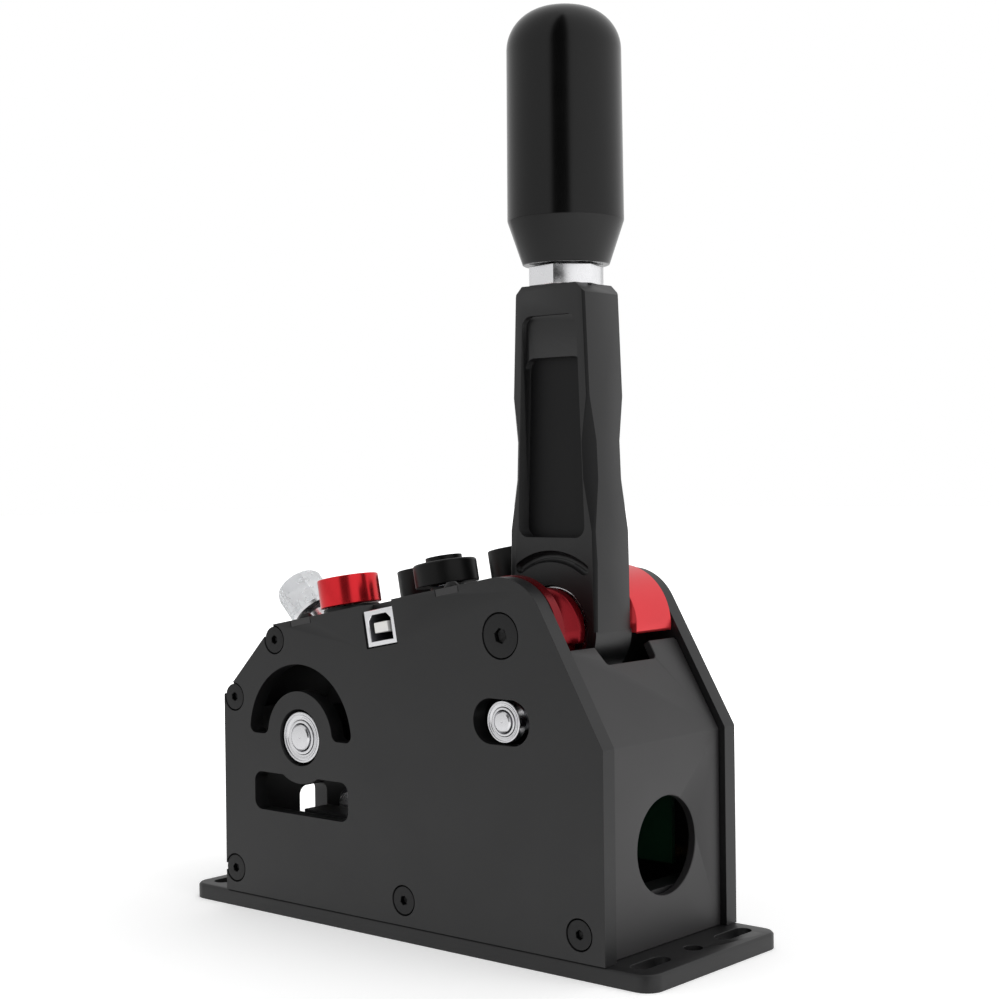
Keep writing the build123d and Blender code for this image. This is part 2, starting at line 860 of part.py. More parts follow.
def roller():
    y_low = -half_width + roller_inset
    return bearing(pivot_x, tail_z, crosspin_r, roller_core_r, roller_r, y_low, roller_width)


def bevelled_pin(x, z, radius):
    half = half_width - shaft_end_recess
    pin = rod_y(x, z, radius, -half, half)
    return chamfer(pin.edges().filter_by(GeomType.CIRCLE), shaft_bevel)


def mode_pin_angle():
    """Direction of the index pin's tip from the rear shaft, in the plane of X and Z."""
    tip = (bevel_plane.offset(-index_pin_depth) * Pos(index_along, 0)).position
    return atan2(tip.Z - rear_axis_height, tip.X - axis_x)


def rocker():
    """Disc with the index notch, arm down to the links, hub, and the horn between the two springs."""
    disc = rod_y(0, 0, rocker_disc_r, -rocker_half_width, rocker_half_width)
    start = mode_pin_angle() - radians(mode_notch_half_angle)
    stop = mode_pin_angle() + radians(mode_notch_half_angle)
    far = 2 * rocker_disc_r
    wedge = make_face(Polyline(
        (0, 0), (far * cos(start), far * sin(start)), (far * cos(stop), far * sin(stop)), close=True,
    )) - Circle(mode_notch_r)
    disc -= slab(wedge, -rocker_half_width - cut_overrun, rocker_half_width + cut_overrun)
    arm_length = tail_length + rocker_arm_width
    arm = Pos(0, -tail_length / 2) * SlotOverall(arm_length, rocker_arm_width, rotation=90)
    body = disc + slab(arm, -rocker_half_width, rocker_half_width)
    horn_out = -knob_offset_y - horn_width / 2
    body += rod_y(0, 0, rocker_hub_r, horn_out, rocker_half_width + link_thickness)
    reach = horn_place()[0]
    horn = Pos((reach + horn_nose) / 2, 0) * Rectangle(reach + horn_nose, horn_height)
    horn = slab(horn, horn_out, horn_out + horn_width)
    horn = fillet(horn.edges().filter_by(Axis.Z).sort_by(Axis.X)[-2:], horn_nose / 2)
    body += Rot(0, -cover_angle, 0) * horn
    body -= rod_y(0, 0, rear_shaft_r, -half_width, half_width)
    body -= rod_y(0, -tail_length, rocker_pin_r, -half_width, half_width)
    return Pos(axis_x, 0, rear_axis_height) * body


def rocker_pin():
    half = rocker_half_width + link_side_gap + link_thickness + link_side_gap
    pin = rod_y(axis_x, rocker_pin_z, rocker_pin_r, -half, half)
    for side in (-1, 1):
        low = min(side * half, side * (half + rocker_pin_head))
        pin += rod_y(axis_x, rocker_pin_z, rocker_pin_head_r, low, low + rocker_pin_head)
    return pin


def link_plates():
    """Two flat links, waisted between their eyes."""
    dx = pivot_x - axis_x
    dz = tail_z - rocker_pin_z
    length = hypot(dx, dz)
    eyes = Circle(link_width / 2) + Pos(length, 0) * Circle(link_width / 2)
    web = Pos(length / 2, 0) * Rectangle(length, link_waist)
    holes = Circle(rocker_pin_r + link_hole_gap) + Pos(length, 0) * Circle(crosspin_r + run_gap)
    face = Pos(axis_x, rocker_pin_z) * Rot(0, 0, degrees(atan2(dz, dx))) * (eyes + web - holes)
    low = -rocker_half_width - link_side_gap - link_thickness
    return both(slab(face, low, low + link_thickness))


def shaft_sleeves():
    """Tubes on the rear shaft that hold the rocker and the magnet ring between the bearings."""
    horn_out = -knob_offset_y - horn_width / 2
    outer = rear_shaft_r + sleeve_wall
    hub_end = rocker_half_width + link_thickness
    first = tube_y(axis_x, rear_axis_height, outer, rear_shaft_r, -inner_half, horn_out)
    second = tube_y(axis_x, rear_axis_height, outer, rear_shaft_r, hub_end, magnet_low())
    third = tube_y(axis_x, rear_axis_height, outer, rear_shaft_r, magnet_low() + magnet_width, inner_half)
    return [first, second, third]


def board_face_y():
    """Inner face of the sensor board, which stands off the far plate."""
    return inner_half - sensor_board_gap - board_thickness


def magnet_low():
    return board_face_y() - sensor_chip_height - magnet_gap - magnet_width


def magnet_ring():
    low = magnet_low()
    return tube_y(axis_x, rear_axis_height, magnet_r, rear_shaft_r, low, low + magnet_width)


def sensor_board_parts():
    centre_x = axis_x + sensor_board_length / 2 - magnet_r - pillar_r
    face = Pos(centre_x, rear_axis_height) * Rectangle(sensor_board_length, sensor_board_height)
    face -= Pos(axis_x, rear_axis_height) * Circle(rear_shaft_r + sleeve_wall + 2 * slip_gap)
    board = slab(face, board_face_y(), board_face_y() + board_thickness)
    pillar_x = centre_x + sensor_board_length / 2 - pillar_r - slip_gap
    rise = sensor_board_height / 2 - pillar_r - slip_gap
    back = board_face_y() + board_thickness
    pillars = [
        rod_y(pillar_x, rear_axis_height + side * rise, pillar_r, back, inner_half)
        for side in (-1, 1)
    ]
    half = sensor_chip_side / 2
    chip_x = axis_x + magnet_r
    chip = block(chip_x - half, chip_x + half, board_face_y() - sensor_chip_height, board_face_y(),
                 rear_axis_height - half, rear_axis_height + half)
    return board, pillars, chip


def control_board_parts():
    """The upright main board on the far plate, seen through the front panel's round hole."""
    high_x = rear_x + control_board_front
    low_x = high_x - control_board_length
    outer = inner_half - control_board_gap
    board = block(low_x, high_x, outer - board_thickness, outer, control_board_low, control_board_high)
    inset = pillar_r + slip_gap
    pillars = [
        rod_y(x, z, pillar_r, outer, inner_half)
        for x in (low_x + inset, high_x - inset)
        for z in (control_board_low + inset, control_board_high - inset)
    ]
    chips = []
    for share in control_chip_shares:
        x = low_x + control_board_length * share
        z = (control_board_low + control_board_high) / 2
        chips.append(block(x - chip_side / 2, x + chip_side / 2, outer - board_thickness - chip_height,
                           outer - board_thickness, z - chip_side / 2, z + chip_side / 2))
    return board, pillars, chips


def lever_outline():
    """Blade and boss seen from the side: a long taper, a bevelled top and a round foot."""
    left = pivot_x - lever_low_half
    right = pivot_x + lever_low_half
    shoulder = lever_top - lever_top_bevel
    blade = make_face(Polyline(
        (left, pivot_height),
        (left, lever_low_height),
        (pivot_x - lever_top_half, shoulder),
        (pivot_x - lever_top_half + lever_top_bevel, lever_top),
        (pivot_x + lever_top_half - lever_top_bevel, lever_top),
        (pivot_x + lever_top_half, shoulder),
        (right, lever_low_height),
        (right, pivot_height),
        close=True,
    ))
    return blade + Pos(pivot_x, pivot_height) * Circle(lever_low_half)


def lever_half_at(height):
    share = (height - lever_low_height) / (lever_top - lever_low_height)
    return lever_low_half + (lever_top_half - lever_low_half) * max(0, share)


def corner_cutter():
    """What the varying bevel takes off one upright corner, drawn in the corner's own diagonal plane."""
    root = hypot(1, 1)

    def point(height, bevel):
        return ((lever_half_at(height) + lever_half_thickness - bevel) / root, height)

    high = lever_top + cut_overrun
    low = pivot_height
    beyond = lever_low_half + lever_half_thickness
    profile = make_face(Polyline(
        point(low, lever_edge_bevel),
        point(waist_bottom, lever_edge_bevel),
        point(waist_low, waist_bevel),
        point(waist_high, waist_bevel),
        point(waist_top, lever_edge_bevel),
        point(high, lever_edge_bevel),
        (beyond, high),
        (beyond, low),
        close=True,
    ))
    diagonal = Plane(origin=(pivot_x, 0, 0), x_dir=(1, 1, 0), z_dir=(1, -1, 0))
    reach = lever_half_thickness
    return extrude(diagonal.offset(-reach) * profile, amount=2 * reach)


def pocket(low_z, high_z, low_half, high_half, corners):
    face = make_face(Polyline(
        (pivot_x - low_half, low_z),
        (pivot_x - high_half, high_z),
        (pivot_x + high_half, high_z),
        (pivot_x + low_half, low_z),
        close=True,
    ))
    return fillet(face.vertices(), corners)


def arc_groove():
    """A round-bottomed groove over the boss, concentric with the pivot."""
    mid = radians(90)
    half = radians(groove_half_angle)
    face_y = -lever_half_thickness

    def on_groove(angle):
        return Vector(pivot_x + groove_r * cos(angle), face_y, pivot_height + groove_r * sin(angle))

    path = ThreePointArc(on_groove(mid + half), on_groove(mid), on_groove(mid - half))
    start = Plane(origin=path @ 0, z_dir=path % 0)
    ball_r = groove_width / 2
    groove = sweep(start * Circle(ball_r), path=path)
    return groove + Pos(*(path @ 0)) * Sphere(ball_r) + Pos(*(path @ 1)) * Sphere(ball_r)


def lever_arm():
    arm = slab(lever_outline(), -lever_half_thickness, lever_half_thickness)
    cutter = corner_cutter()
    back = mirror(cutter, about=Plane.YZ.offset(pivot_x))
    for corner in (cutter, back, mirrored(cutter), mirrored(back)):
        arm -= corner
    shallow = pocket(pocket_bottom, pocket_top, pocket_low_half, pocket_top_half, pocket_corner_r)
    step_share = (pocket_step - pocket_bottom) / (pocket_top - pocket_bottom)
    deep_high = pocket_low_half + (pocket_top_half - pocket_low_half) * step_share
    deep = pocket(pocket_bottom, pocket_step, pocket_low_half, deep_high, pocket_corner_r)
    face_y = -lever_half_thickness
    shallow_cut = slab(shallow, face_y - cut_overrun, face_y + pocket_depth_shallow)
    deep_cut = slab(deep, face_y - cut_overrun, face_y + pocket_depth_deep)
    groove = arc_groove()
    for cut in (shallow_cut, deep_cut, groove):
        arm -= cut
        arm -= mirrored(cut)
    tail = Pos(pivot_x, (pivot_height + tail_z) / 2) * SlotOverall(
        tail_length + 2 * tail_half_width, 2 * tail_half_width, rotation=90)
    arm += slab(tail, -tail_half_thickness, tail_half_thickness)
    arm -= rod_y(pivot_x, pivot_height, lever_bearing_r, -half_width, half_width)
    arm -= rod_y(pivot_x, tail_z, crosspin_r, -half_width, half_width)
    return arm - Pos(pivot_x, 0, lever_top - stud_length_down / 2) * Cylinder(stud_r, stud_length_down)


def crosspin_sleeves():
    inner = -tail_half_thickness - link_side_gap - link_thickness - link_side_gap
    outer = -half_width + roller_inset + roller_width
    return both(tube_y(pivot_x, tail_z, roller_core_r, crosspin_r, outer, inner))


def spacer_cut(flat):
    """The corner that both spacers lose in front below the shaft, over the front panel's top edge."""
    square = Rectangle(2 * spacer_r, 2 * spacer_r)
    return Pos(pivot_x + spacer_step + spacer_r, pivot_height - flat - spacer_r) * square


def port_spacer():
    """A spool: flange on the plate, hollowed neck, ring and lip at the lever."""
    start = -inner_half
    end = -lever_half_thickness + lever_bearing_recess
    lip = end - spacer_lip
    ring = lip - spool_ring
    flange = start + spacer_flange
    waist = (spool_neck_r, (flange + ring) / 2)
    edges = Polyline((pivot_shaft_r, start), (spacer_r, start), (spacer_r, flange))
    edges += ThreePointArc((spacer_r, flange), waist, (spool_ring_r, ring))
    edges += Polyline(
        (spool_ring_r, ring),
        (spool_ring_r, lip),
        (lever_bearing_core_r, lip),
        (lever_bearing_core_r, end),
        (pivot_shaft_r, end),
        (pivot_shaft_r, start),
    )
    spool = Pos(pivot_x, 0, pivot_height) * revolve(make_face(edges), axis=Axis.Y)
    return spool - slab(spacer_cut(port_spacer_flat), start - cut_overrun, end + cut_overrun)


def far_spacer():
    """The other spacer: a plain drum, cut away in front below the shaft."""
    start = lever_half_thickness - lever_bearing_recess
    lip = start + spacer_lip
    ring = Pos(pivot_x, pivot_height) * (Circle(spacer_r) - Circle(pivot_shaft_r))
    drum = ring - spacer_cut(far_spacer_flat)
    core = tube_y(pivot_x, pivot_height, lever_bearing_core_r, pivot_shaft_r, start, lip)
    return slab(drum, lip, inner_half) + core


def pivot_shaft():
    shaft = rod_y(pivot_x, pivot_height, pivot_shaft_r, -inner_half, inner_half)
    hole_end = -half_width + pivot_screw_length + screw_sink
    hole = rod_y(pivot_x, pivot_height, pivot_screw_r, -half_width, hole_end)
    return shaft - hole - mirrored(hole)


def collar_nut():
    face = RegularPolygon(collar_nut_flats / 2, 6, major_radius=False, rotation=30) - Circle(stud_r)
    return extrude(Plane.XY.offset(lever_top) * Pos(pivot_x, 0) * face, amount=collar_nut_height)


def grip():
    """A turned grip: a short cone, a long barrel that narrows a little, and a rounded crown."""
    low = lever_top + collar_nut_height + grip_gap
    shoulder = low + grip_cone_height
    dome = grip_top - grip_dome_height
    crown_share = cos(radians(45))
    middle = (
        grip_crown_r + (grip_top_r - grip_crown_r) * crown_share,
        dome + grip_dome_height * crown_share,
    )
    edges = Polyline((0, low), (grip_foot_r, low), (grip_r, shoulder), (grip_top_r, dome))
    edges += ThreePointArc((grip_top_r, dome), middle, (grip_crown_r, grip_top))
    edges += Polyline((grip_crown_r, grip_top), (0, grip_top), (0, low))
    solid = revolve(Plane.XZ * make_face(edges), axis=Axis.Z)
    top = lever_top + stud_length_up
    return Pos(pivot_x, 0, 0) * solid - Pos(pivot_x, 0, (low + top) / 2) * Cylinder(stud_r, top - low)


def grip_stud():
    low = lever_top - stud_length_down
    high = lever_top + stud_length_up
    return Pos(pivot_x, 0, (low + high) / 2) * Cylinder(stud_r, high - low)


def index_knob():
    low = index_stand + index_rim_height
    face = RegularPolygon(index_knob_r, index_facets, rotation=index_facet_turn)
    solid = bar(bevel_plane, index_along, 0, low, low + index_knob_height, face)
    cap = post(bevel_plane, index_along, 0, low - cut_overrun, low + index_knob_height, index_knob_r)
    top_edge = cap.edges().filter_by(GeomType.CIRCLE).sort_by(Axis.Z)[-1]
    return solid & fillet(top_edge, index_knob_fillet)


def index_pin():
    """The pin, its collar over the bush and the bright rim that the knob is seated on."""
    solid = post(bevel_plane, index_along, 0, -index_pin_depth, index_stand, index_pin_r)
    solid += post(bevel_plane, index_along, 0, index_bush_foot + index_lift, index_stand, index_collar_r)
    return solid + post(bevel_plane, index_along, 0, index_stand, index_stand + index_rim_height, index_rim_r)


def index_bush():
    """The bush in the bevelled plate that guides the index pin."""
    solid = post(bevel_plane, index_along, 0, -bevel_inset - bevel_thickness, index_bush_foot, index_bush_r)
    solid += post(bevel_plane, index_along, 0, -bevel_inset, index_bush_foot, index_bush_foot_r)
    bore_r = index_pin_r + run_gap
    return solid - post(bevel_plane, index_along, 0, -bevel_thickness - cut_overrun, index_stand, bore_r)


def spring_bracket():
    """Holds the lower spring's seat over the base, with a bar back along the window."""
    along, across = knob_places()["force"]
    seat = bracket_seat_level()
    seat_place = (cover_plane.offset(seat) * Pos(along, across)).position
    low_y = across - bracket_half_width
    high_y = across + bracket_half_width
    web_x = seat_place.X
    web = block(web_x, web_x + bracket_web, low_y, high_y, base_thickness, seat_place.Z - bracket_shelf)
    foot = block(web_x, web_x + bracket_foot_front, low_y, high_y, base_thickness,
                 base_thickness + bracket_foot_height)
    bar_low = bracket_bar_high - bracket_bar_height
    rail = block(rear_x + bracket_bar_reach, web_x + bracket_web, low_y, high_y, bar_low, bracket_bar_high)
    shelf = bar(cover_plane, along, across, seat - bracket_shelf, seat,
                Rectangle(2 * (spring_r + spring_wire_r), 2 * bracket_half_width))
    return web + foot + rail + shelf


def bracket_seat_level():
    """Height of the lower spring's seat, as far below the horn as the upper seat is above it."""
    return horn_place()[1] - horn_height / 2 - lower_spring_length


def upper_spring():
    low = horn_place()[1] + horn_height / 2 + spring_seat_gap
    return coil(low, nut_top() - nut_height - spring_seat_gap, spring_turns, "upper_spring")


def lower_spring():
    high = horn_place()[1] - horn_height / 2 - spring_seat_gap
    return coil(bracket_seat_level() + spring_seat_gap, high, lower_spring_turns, "lower_spring")


def build_nodes():
    screw_sizes = (side_screw_r, side_screw_head_r, side_screw_length, side_screw_key)
    pivot_sizes = (pivot_screw_r, pivot_screw_head_r, pivot_screw_length, pivot_screw_key)
    side_screws = [countersunk_screw(x, z, *screw_sizes) for x, z in side_screw_places()]
    pivot_screw = countersunk_screw(pivot_x, pivot_height, *pivot_sizes)
    socket_shell, socket_tongue = socket_parts()
    board, board_pillars = port_board()
    hall_board, hall_pillars, hall_chip = sensor_board_parts()
    main_board, main_pillars, main_chips = control_board_parts()
    rear_core, rear_shell = rear_bearing()
    lever_core, lever_shell = lever_bearing()
    roller_core, roller_shell = roller()
    rotary_names = ("travel", "rear_trim", "front_trim")
    return {
        "base_plate": base_plate(),
        "port_side_plate": side_plate(True),
        "far_side_plate": mirrored(side_plate(False)),
        "rear_plate": rear_plate(),
        "bevel_plate": bevel_plate(),
        "base_blocks": base_blocks(),
        "front_panel": front_panel(),
        "top_cover": top_cover(),
        "side_screws": side_screws + [mirrored(screw) for screw in side_screws],
        "pivot_screws": both(pivot_screw),
        "base_screws": base_screws(),
        "cover_screws": cover_screws(),
        "pivot_shaft": pivot_shaft(),
        "port_spacer": port_spacer(),
        "far_spacer": far_spacer(),
        "lever_bearing_cores": both(lever_core),
        "lever_bearing_shells": both(lever_shell),
        "rear_bearing_cores": both(rear_core),
        "rear_bearing_shells": both(rear_shell),
        "roller_cores": both(roller_core),
        "port_roller": roller_shell,
        "far_roller": mirrored(roller_shell),
        "lever_arm": lever_arm(),
        "collar_nut": collar_nut(),
        "grip_stud": grip_stud(),
        "grip": grip(),
        "crosspin": bevelled_pin(pivot_x, tail_z, crosspin_r),
        "crosspin_sleeves": crosspin_sleeves(),
        "link_plates": link_plates(),
        "rocker": rocker(),
        "rocker_pin": rocker_pin(),
        "rear_shaft": bevelled_pin(axis_x, rear_axis_height, rear_shaft_r),
        "shaft_sleeves": shaft_sleeves(),
        "magnet_ring": magnet_ring(),
        "sensor_board": hall_board,
        "board_pillars": board_pillars + hall_pillars + main_pillars,
        "board_chips": [hall_chip] + main_chips,
        "control_board": main_board,
        "port_board": board,
        "socket_shell": socket_shell,
        "socket_tongue": socket_tongue,
        "force_knob": force_knob(),
        "force_screw": force_screw(),
        "force_bush": force_bush(),
        "preload_nut": preload_nut(),
        "upper_spring": upper_spring(),
        "lower_spring": lower_spring(),
        "spring_bracket": spring_bracket(),
        "travel_dial": travel_dial(),
        "travel_dial_cap": travel_dial_cap(),
        "travel_dial_shaft": dial_shaft("travel"),
        "rear_trim_knob": trim_knob("rear_trim"),
        "rear_trim_shaft": dial_shaft("rear_trim"),
        "front_trim_knob": trim_knob("front_trim"),
        "front_trim_shaft": dial_shaft("front_trim"),
        "dial_sensors": [dial_sensor(name) for name in rotary_names],
        "dial_nuts": [dial_nut(name) for name in rotary_names],
        "index_knob": index_knob(),
        "index_pin": index_pin(),
        "index_bush": index_bush(),
    }


def main():
    os.makedirs("parts", exist_ok=True)
    for name, made in build_nodes().items():
        pieces = made if isinstance(made, list) else [made]
        solids = [solid for piece in pieces for solid in piece.solids()]
        shape = solids[0] if len(solids) == 1 else Compound(children=solids)
        export_step(shape, f"parts/{name}.step")


main()
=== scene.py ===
"""Looks of a gear shifter for a driving rig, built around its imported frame.

Each operator makes one piece or one group of like pieces in metres, in the frame's own axes:
+Z up, +X to the bent front panel, -Y to the side plate with the data socket.
"""
import json
from math import cos, pi, radians, sin, tan

import bmesh
import bpy
import numpy as np
from bpy.props import FloatProperty, FloatVectorProperty, IntProperty, PointerProperty
from mathutils import Matrix, Vector


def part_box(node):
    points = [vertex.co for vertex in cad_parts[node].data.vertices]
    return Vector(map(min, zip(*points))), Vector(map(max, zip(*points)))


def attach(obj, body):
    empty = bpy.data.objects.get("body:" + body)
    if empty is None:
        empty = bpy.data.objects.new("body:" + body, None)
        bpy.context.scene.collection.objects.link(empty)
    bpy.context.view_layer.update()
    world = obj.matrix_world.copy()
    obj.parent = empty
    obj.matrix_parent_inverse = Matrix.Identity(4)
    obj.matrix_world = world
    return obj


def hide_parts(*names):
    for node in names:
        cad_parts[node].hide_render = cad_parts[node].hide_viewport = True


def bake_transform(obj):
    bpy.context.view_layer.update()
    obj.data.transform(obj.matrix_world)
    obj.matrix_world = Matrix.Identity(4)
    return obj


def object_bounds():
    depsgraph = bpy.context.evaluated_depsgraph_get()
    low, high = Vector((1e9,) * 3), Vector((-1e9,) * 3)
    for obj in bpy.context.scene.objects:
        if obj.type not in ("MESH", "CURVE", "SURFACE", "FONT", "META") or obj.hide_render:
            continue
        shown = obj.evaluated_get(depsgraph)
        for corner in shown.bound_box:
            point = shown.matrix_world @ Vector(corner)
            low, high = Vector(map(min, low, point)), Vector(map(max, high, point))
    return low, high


bl_info = {
    "name": "Gear Shifter Looks",
    "version": (1, 0, 0),
    "blender": (4, 5, 0),
    "location": "3D View > Sidebar > Shifter",
    "description": "Dresses the frame of a gear shifter with finished pieces, lights and a camera",
    "category": "Object",
}

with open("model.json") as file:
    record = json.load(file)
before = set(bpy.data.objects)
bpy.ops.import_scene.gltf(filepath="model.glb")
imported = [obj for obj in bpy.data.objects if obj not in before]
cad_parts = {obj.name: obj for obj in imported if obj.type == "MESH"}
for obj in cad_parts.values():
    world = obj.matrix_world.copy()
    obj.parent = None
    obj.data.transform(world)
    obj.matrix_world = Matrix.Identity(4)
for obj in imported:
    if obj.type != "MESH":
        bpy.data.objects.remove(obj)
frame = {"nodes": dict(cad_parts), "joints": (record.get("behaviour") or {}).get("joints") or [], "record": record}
cad_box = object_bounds()
nodes = frame["nodes"]
body_of_node = {
    node: body for body, members in frame["record"]["behaviour"]["bodies"].items() for node in members
}
joint_of = {joint["name"]: joint for joint in frame["joints"]}
pivot = Vector(joint_of["lever_tilt"]["pos_m"])
cover_normal = Vector(joint_of["force_knob_turn"]["axis"])

MM = 0.001
RING_POINTS = 96
FILLET_STEP = radians(12)
# A round takes at most this share of a side, and a corner flatter than this half angle gets none.
FILLET_SHARE = 0.49
STRAIGHT_HALF = radians(89)
MERGE_DISTANCE = 2e-6
# Radius of the small flat that closes a turned face in the middle.
FACE_MIDDLE = 0.02 * MM
# Points of a broken edge lie within this many edge widths of their face.
EDGE_REACH = 1.5
# A wave texture of scale 1 has one band in this length.
WAVE_BAND = 0.314
FLAT_ANGLE = radians(0.4)
SHARP_ANGLE = radians(32)
CREASE_ANGLE = radians(24)
X_AXIS = Vector((1, 0, 0))
Y_AXIS = Vector((0, 1, 0))
Z_AXIS = Vector((0, 0, 1))

# Camera fitted on the photograph's edges and holes: lens in mm, yaw, pitch and roll in degrees, and the
# place in mm, counted along X from the lever's pivot.
CAMERA_LENS = 65.29
CAMERA_TURN = (40.69, -0.70, -0.70)
CAMERA_PLACE = (331.48, -416.81, 136.85)

# Half the floor's side, the lights' aim, and each light's name, place, width, height and power.
FLOOR_REACH = 6.0
LIGHT_AIM = Vector((0.0, 0.0, 0.13))
SOFTBOXES = (
    ("right_softbox", (1.05, -0.15, 0.75), 1.5, 1.6, 9.0),
    ("left_softbox", (-0.75, -1.0, 0.9), 1.4, 1.4, 4.0),
    ("top_softbox", (0.0, 0.3, 1.4), 1.4, 1.4, 7.0),
)

# The dark gap in the white surroundings: its turn from the camera, and its half angles outside and inside.
GAP_TURN = radians(-12)
GAP_OUTSIDE = radians(22)
GAP_INSIDE = radians(12)

# How far the collar nut is turned from the frame's.
NUT_TURN = radians(18)


def linear(hex_colour):
    """An opaque sRGB hex colour as the linear values that Blender's sockets hold."""
    levels = [int(hex_colour[i:i + 2], 16) / 255 for i in (1, 3, 5)]
    return tuple(c / 12.92 if c <= 0.04045 else ((c + 0.055) / 1.055) ** 2.4 for c in levels) + (1.0,)


def hue(name, description, hex_colour):
    """A colour property with an sRGB hex default."""
    return FloatVectorProperty(
        name=name, description=description, subtype="COLOR", size=4, min=0, max=1,
        default=linear(hex_colour),
    )


def length(name, description, millimetres):
    """A length property, kept in metres."""
    return FloatProperty(
        name=name, description=description, default=millimetres * MM, min=0,
        subtype="DISTANCE", unit="LENGTH",
    )


class ShifterColours(bpy.types.PropertyGroup):
    """Colours of the finishes."""

    plate_black: hue("Plate black", "Anodised layer on the blasted plates", "#0c0c0d")
    panel_black: hue("Panel black", "Powder coat on the front panel and the cover", "#1a191a")
    lever_black: hue("Lever black", "Anodised layer on the milled lever", "#0c0c0d")
    grip_black: hue("Grip black", "Anodised layer on the turned grip", "#060606")
    # Also used on the drum's milled step as painted shade.
    knob_black: hue("Knob black", "Black of the turned knobs and the chips", "#070707")
    screw_black: hue("Screw black", "Black oxide on the screws", "#0b0b0c")
    knob_red: hue("Knob red", "Dyed anodised layer on the force knob", "#e22b33")
    drum_red: hue("Drum red", "Dyed anodised layer on the drum", "#db383f")
    # Painted shade: the spool has the drum's dye; this darker red stands in for the shade and dark reflections
    # round it.
    spool_red: hue("Spool red", "Deeper dye on the turned spool", "#7a0e18")
    steel: hue("Steel", "Ground and polished steel", "#dcdcde")
    link_steel: hue("Link steel", "Blackened steel of the links and springs", "#3c3c40")
    bare_aluminium: hue("Bare aluminium", "Machined aluminium inside the housing", "#8b8c90")
    plated_nut: hue("Plated nut", "Bright plating on the collar nut", "#f4f4f6")
    # Painted shade: the socket's inner walls have the same plating, darkened here for the shade inside it.
    plated_shell: hue("Plated shell", "Tin plating on the data socket", "#e6e6ea")
    shell_inside: hue("Shell inside", "Painted shade on the data socket's inner walls", "#4c4c50")
    socket_white: hue("Socket white", "Moulded tongue of the data socket", "#f2f1ee")
    clear_plastic: hue("Clear plastic", "Cast clear index knob", "#f7f9fb")
    board_green: hue("Board green", "Solder mask of the circuit boards", "#0d2417")
    brass: hue("Brass", "Turned pillars and the travelling nut", "#c9a25a")
    sensor_blue: hue("Sensor blue", "Moulded cans of the rotary sensors", "#1c3566")


class ShifterSizes(bpy.types.PropertyGroup):
    """Small sizes that the frame's solids don't hold."""

    plate_edge: length("Plate edge", "Broken edge of the plates", 0.3)
    sheet_edge: length("Sheet edge", "Broken edge of the panel and the cover", 0.2)
    lever_edge: length("Lever edge", "Broken edge of the lever", 0.25)
    small_edge: length("Small edge", "Broken edge of the small pieces", 0.15)
    knob_edge: length("Knob edge", "Rounded edge of the knobs", 0.45)
    cap_edge: length("Cap edge", "Rounded edge of the travel dial's cap", 0.27)
    dial_edge: length("Dial edge", "Rounded top edge of the travel dial", 1.6)
    key_width: length("Key width", "Across the flats of the side screws' sockets", 2.5)
    base_key_width: length("Base key width", "Across the flats of the base screws' sockets", 2.0)
    pivot_key_width: length("Pivot key width", "Across the flats of the pivot screws' sockets", 4.0)
    cover_key_width: length("Cover key width", "Across the flats of the cover screws' sockets", 1.5)
    key_depth: length("Key depth", "Depth of the screws' sockets", 1.6)
    cover_key_depth: length("Cover key depth", "Depth of the cover screws' sockets", 0.9)
    screw_gap: length("Screw gap", "Gap round the countersunk heads", 0.32)
    # Partly painted shade: the collar is widened so that its black fills the shaded gap under the force knob.
    spool_rim: length("Spool rim", "Radius of the spool's flange", 16.7)
    drum_lift: length("Drum lift", "How far the drum's flat is milled past the frame's", 1.1)
    drum_gap: length("Drum gap", "Gap between the drum and the far plate", 0.5)
    seat_groove: length("Seat groove", "Width of the groove round the rear bearings", 0.9)
    bearing_sink: length("Bearing sink", "How deep the bearings' faces lie", 0.5)
    shield_gap: length("Shield gap", "Gap between a bearing's shield and its inner ring", 0.22)
    shaft_gap: length("Shaft gap", "Mouth of the chamfer in a bearing's inner ring", 0.5)
    shade_filling_collar: length("Bush collar", "Radius of the force bush's collar", 8.8)
    rear_rise: length("Rear rise", "How far the rear plate reaches up to the bevel plate", 3.0)
    blast_grain: length("Blast grain", "Spacing of the dents left by the blasting beads", 0.22)
    turning_pitch: length("Turning pitch", "Feed of the turning tool, drawn coarse enough to show", 0.35)
    screw_turn_seed: IntProperty(
        name="Screw seed", description="Where each screw's socket came to rest", default=4,
    )


def colours():
    return bpy.context.scene.shifter_colours


def sizes():
    return bpy.context.scene.shifter_sizes


def add(tree, kind, inputs=None, **settings):
    """Adds a node with its settings and inputs. A node given as an input's value means its first output."""
    node = tree.nodes.new(kind)
    for name, value in settings.items():
        setattr(node, name, value)
    for socket, value in (inputs or {}).items():
        if isinstance(value, bpy.types.Node):
            value = value.outputs[0]
        if isinstance(value, bpy.types.NodeSocket):
            tree.links.new(value, node.inputs[socket])
        else:
            node.inputs[socket].default_value = value
    return node


def new_material(name, colour, metallic, roughness, **shader_inputs):
    """A material with its shader, ready for the patterns of its finish. Returns the parts to link to."""
    material = bpy.data.materials.new(name)
    material.use_nodes = True
    tree = material.node_tree
    shader = tree.nodes["Principled BSDF"]
    shader.inputs["Base Color"].default_value = colour
    shader.inputs["Metallic"].default_value = metallic
    shader.inputs["Roughness"].default_value = roughness
    for socket, value in shader_inputs.items():
        shader.inputs[socket.replace("_", " ")].default_value = value
    place = add(tree, "ShaderNodeTexCoord").outputs["Object"]
    return material, tree, shader, place


def shade(colour, share):
    """A lighter or darker colour of the same hue."""
    return tuple(min(1, c * share) for c in colour[:3]) + (1.0,)


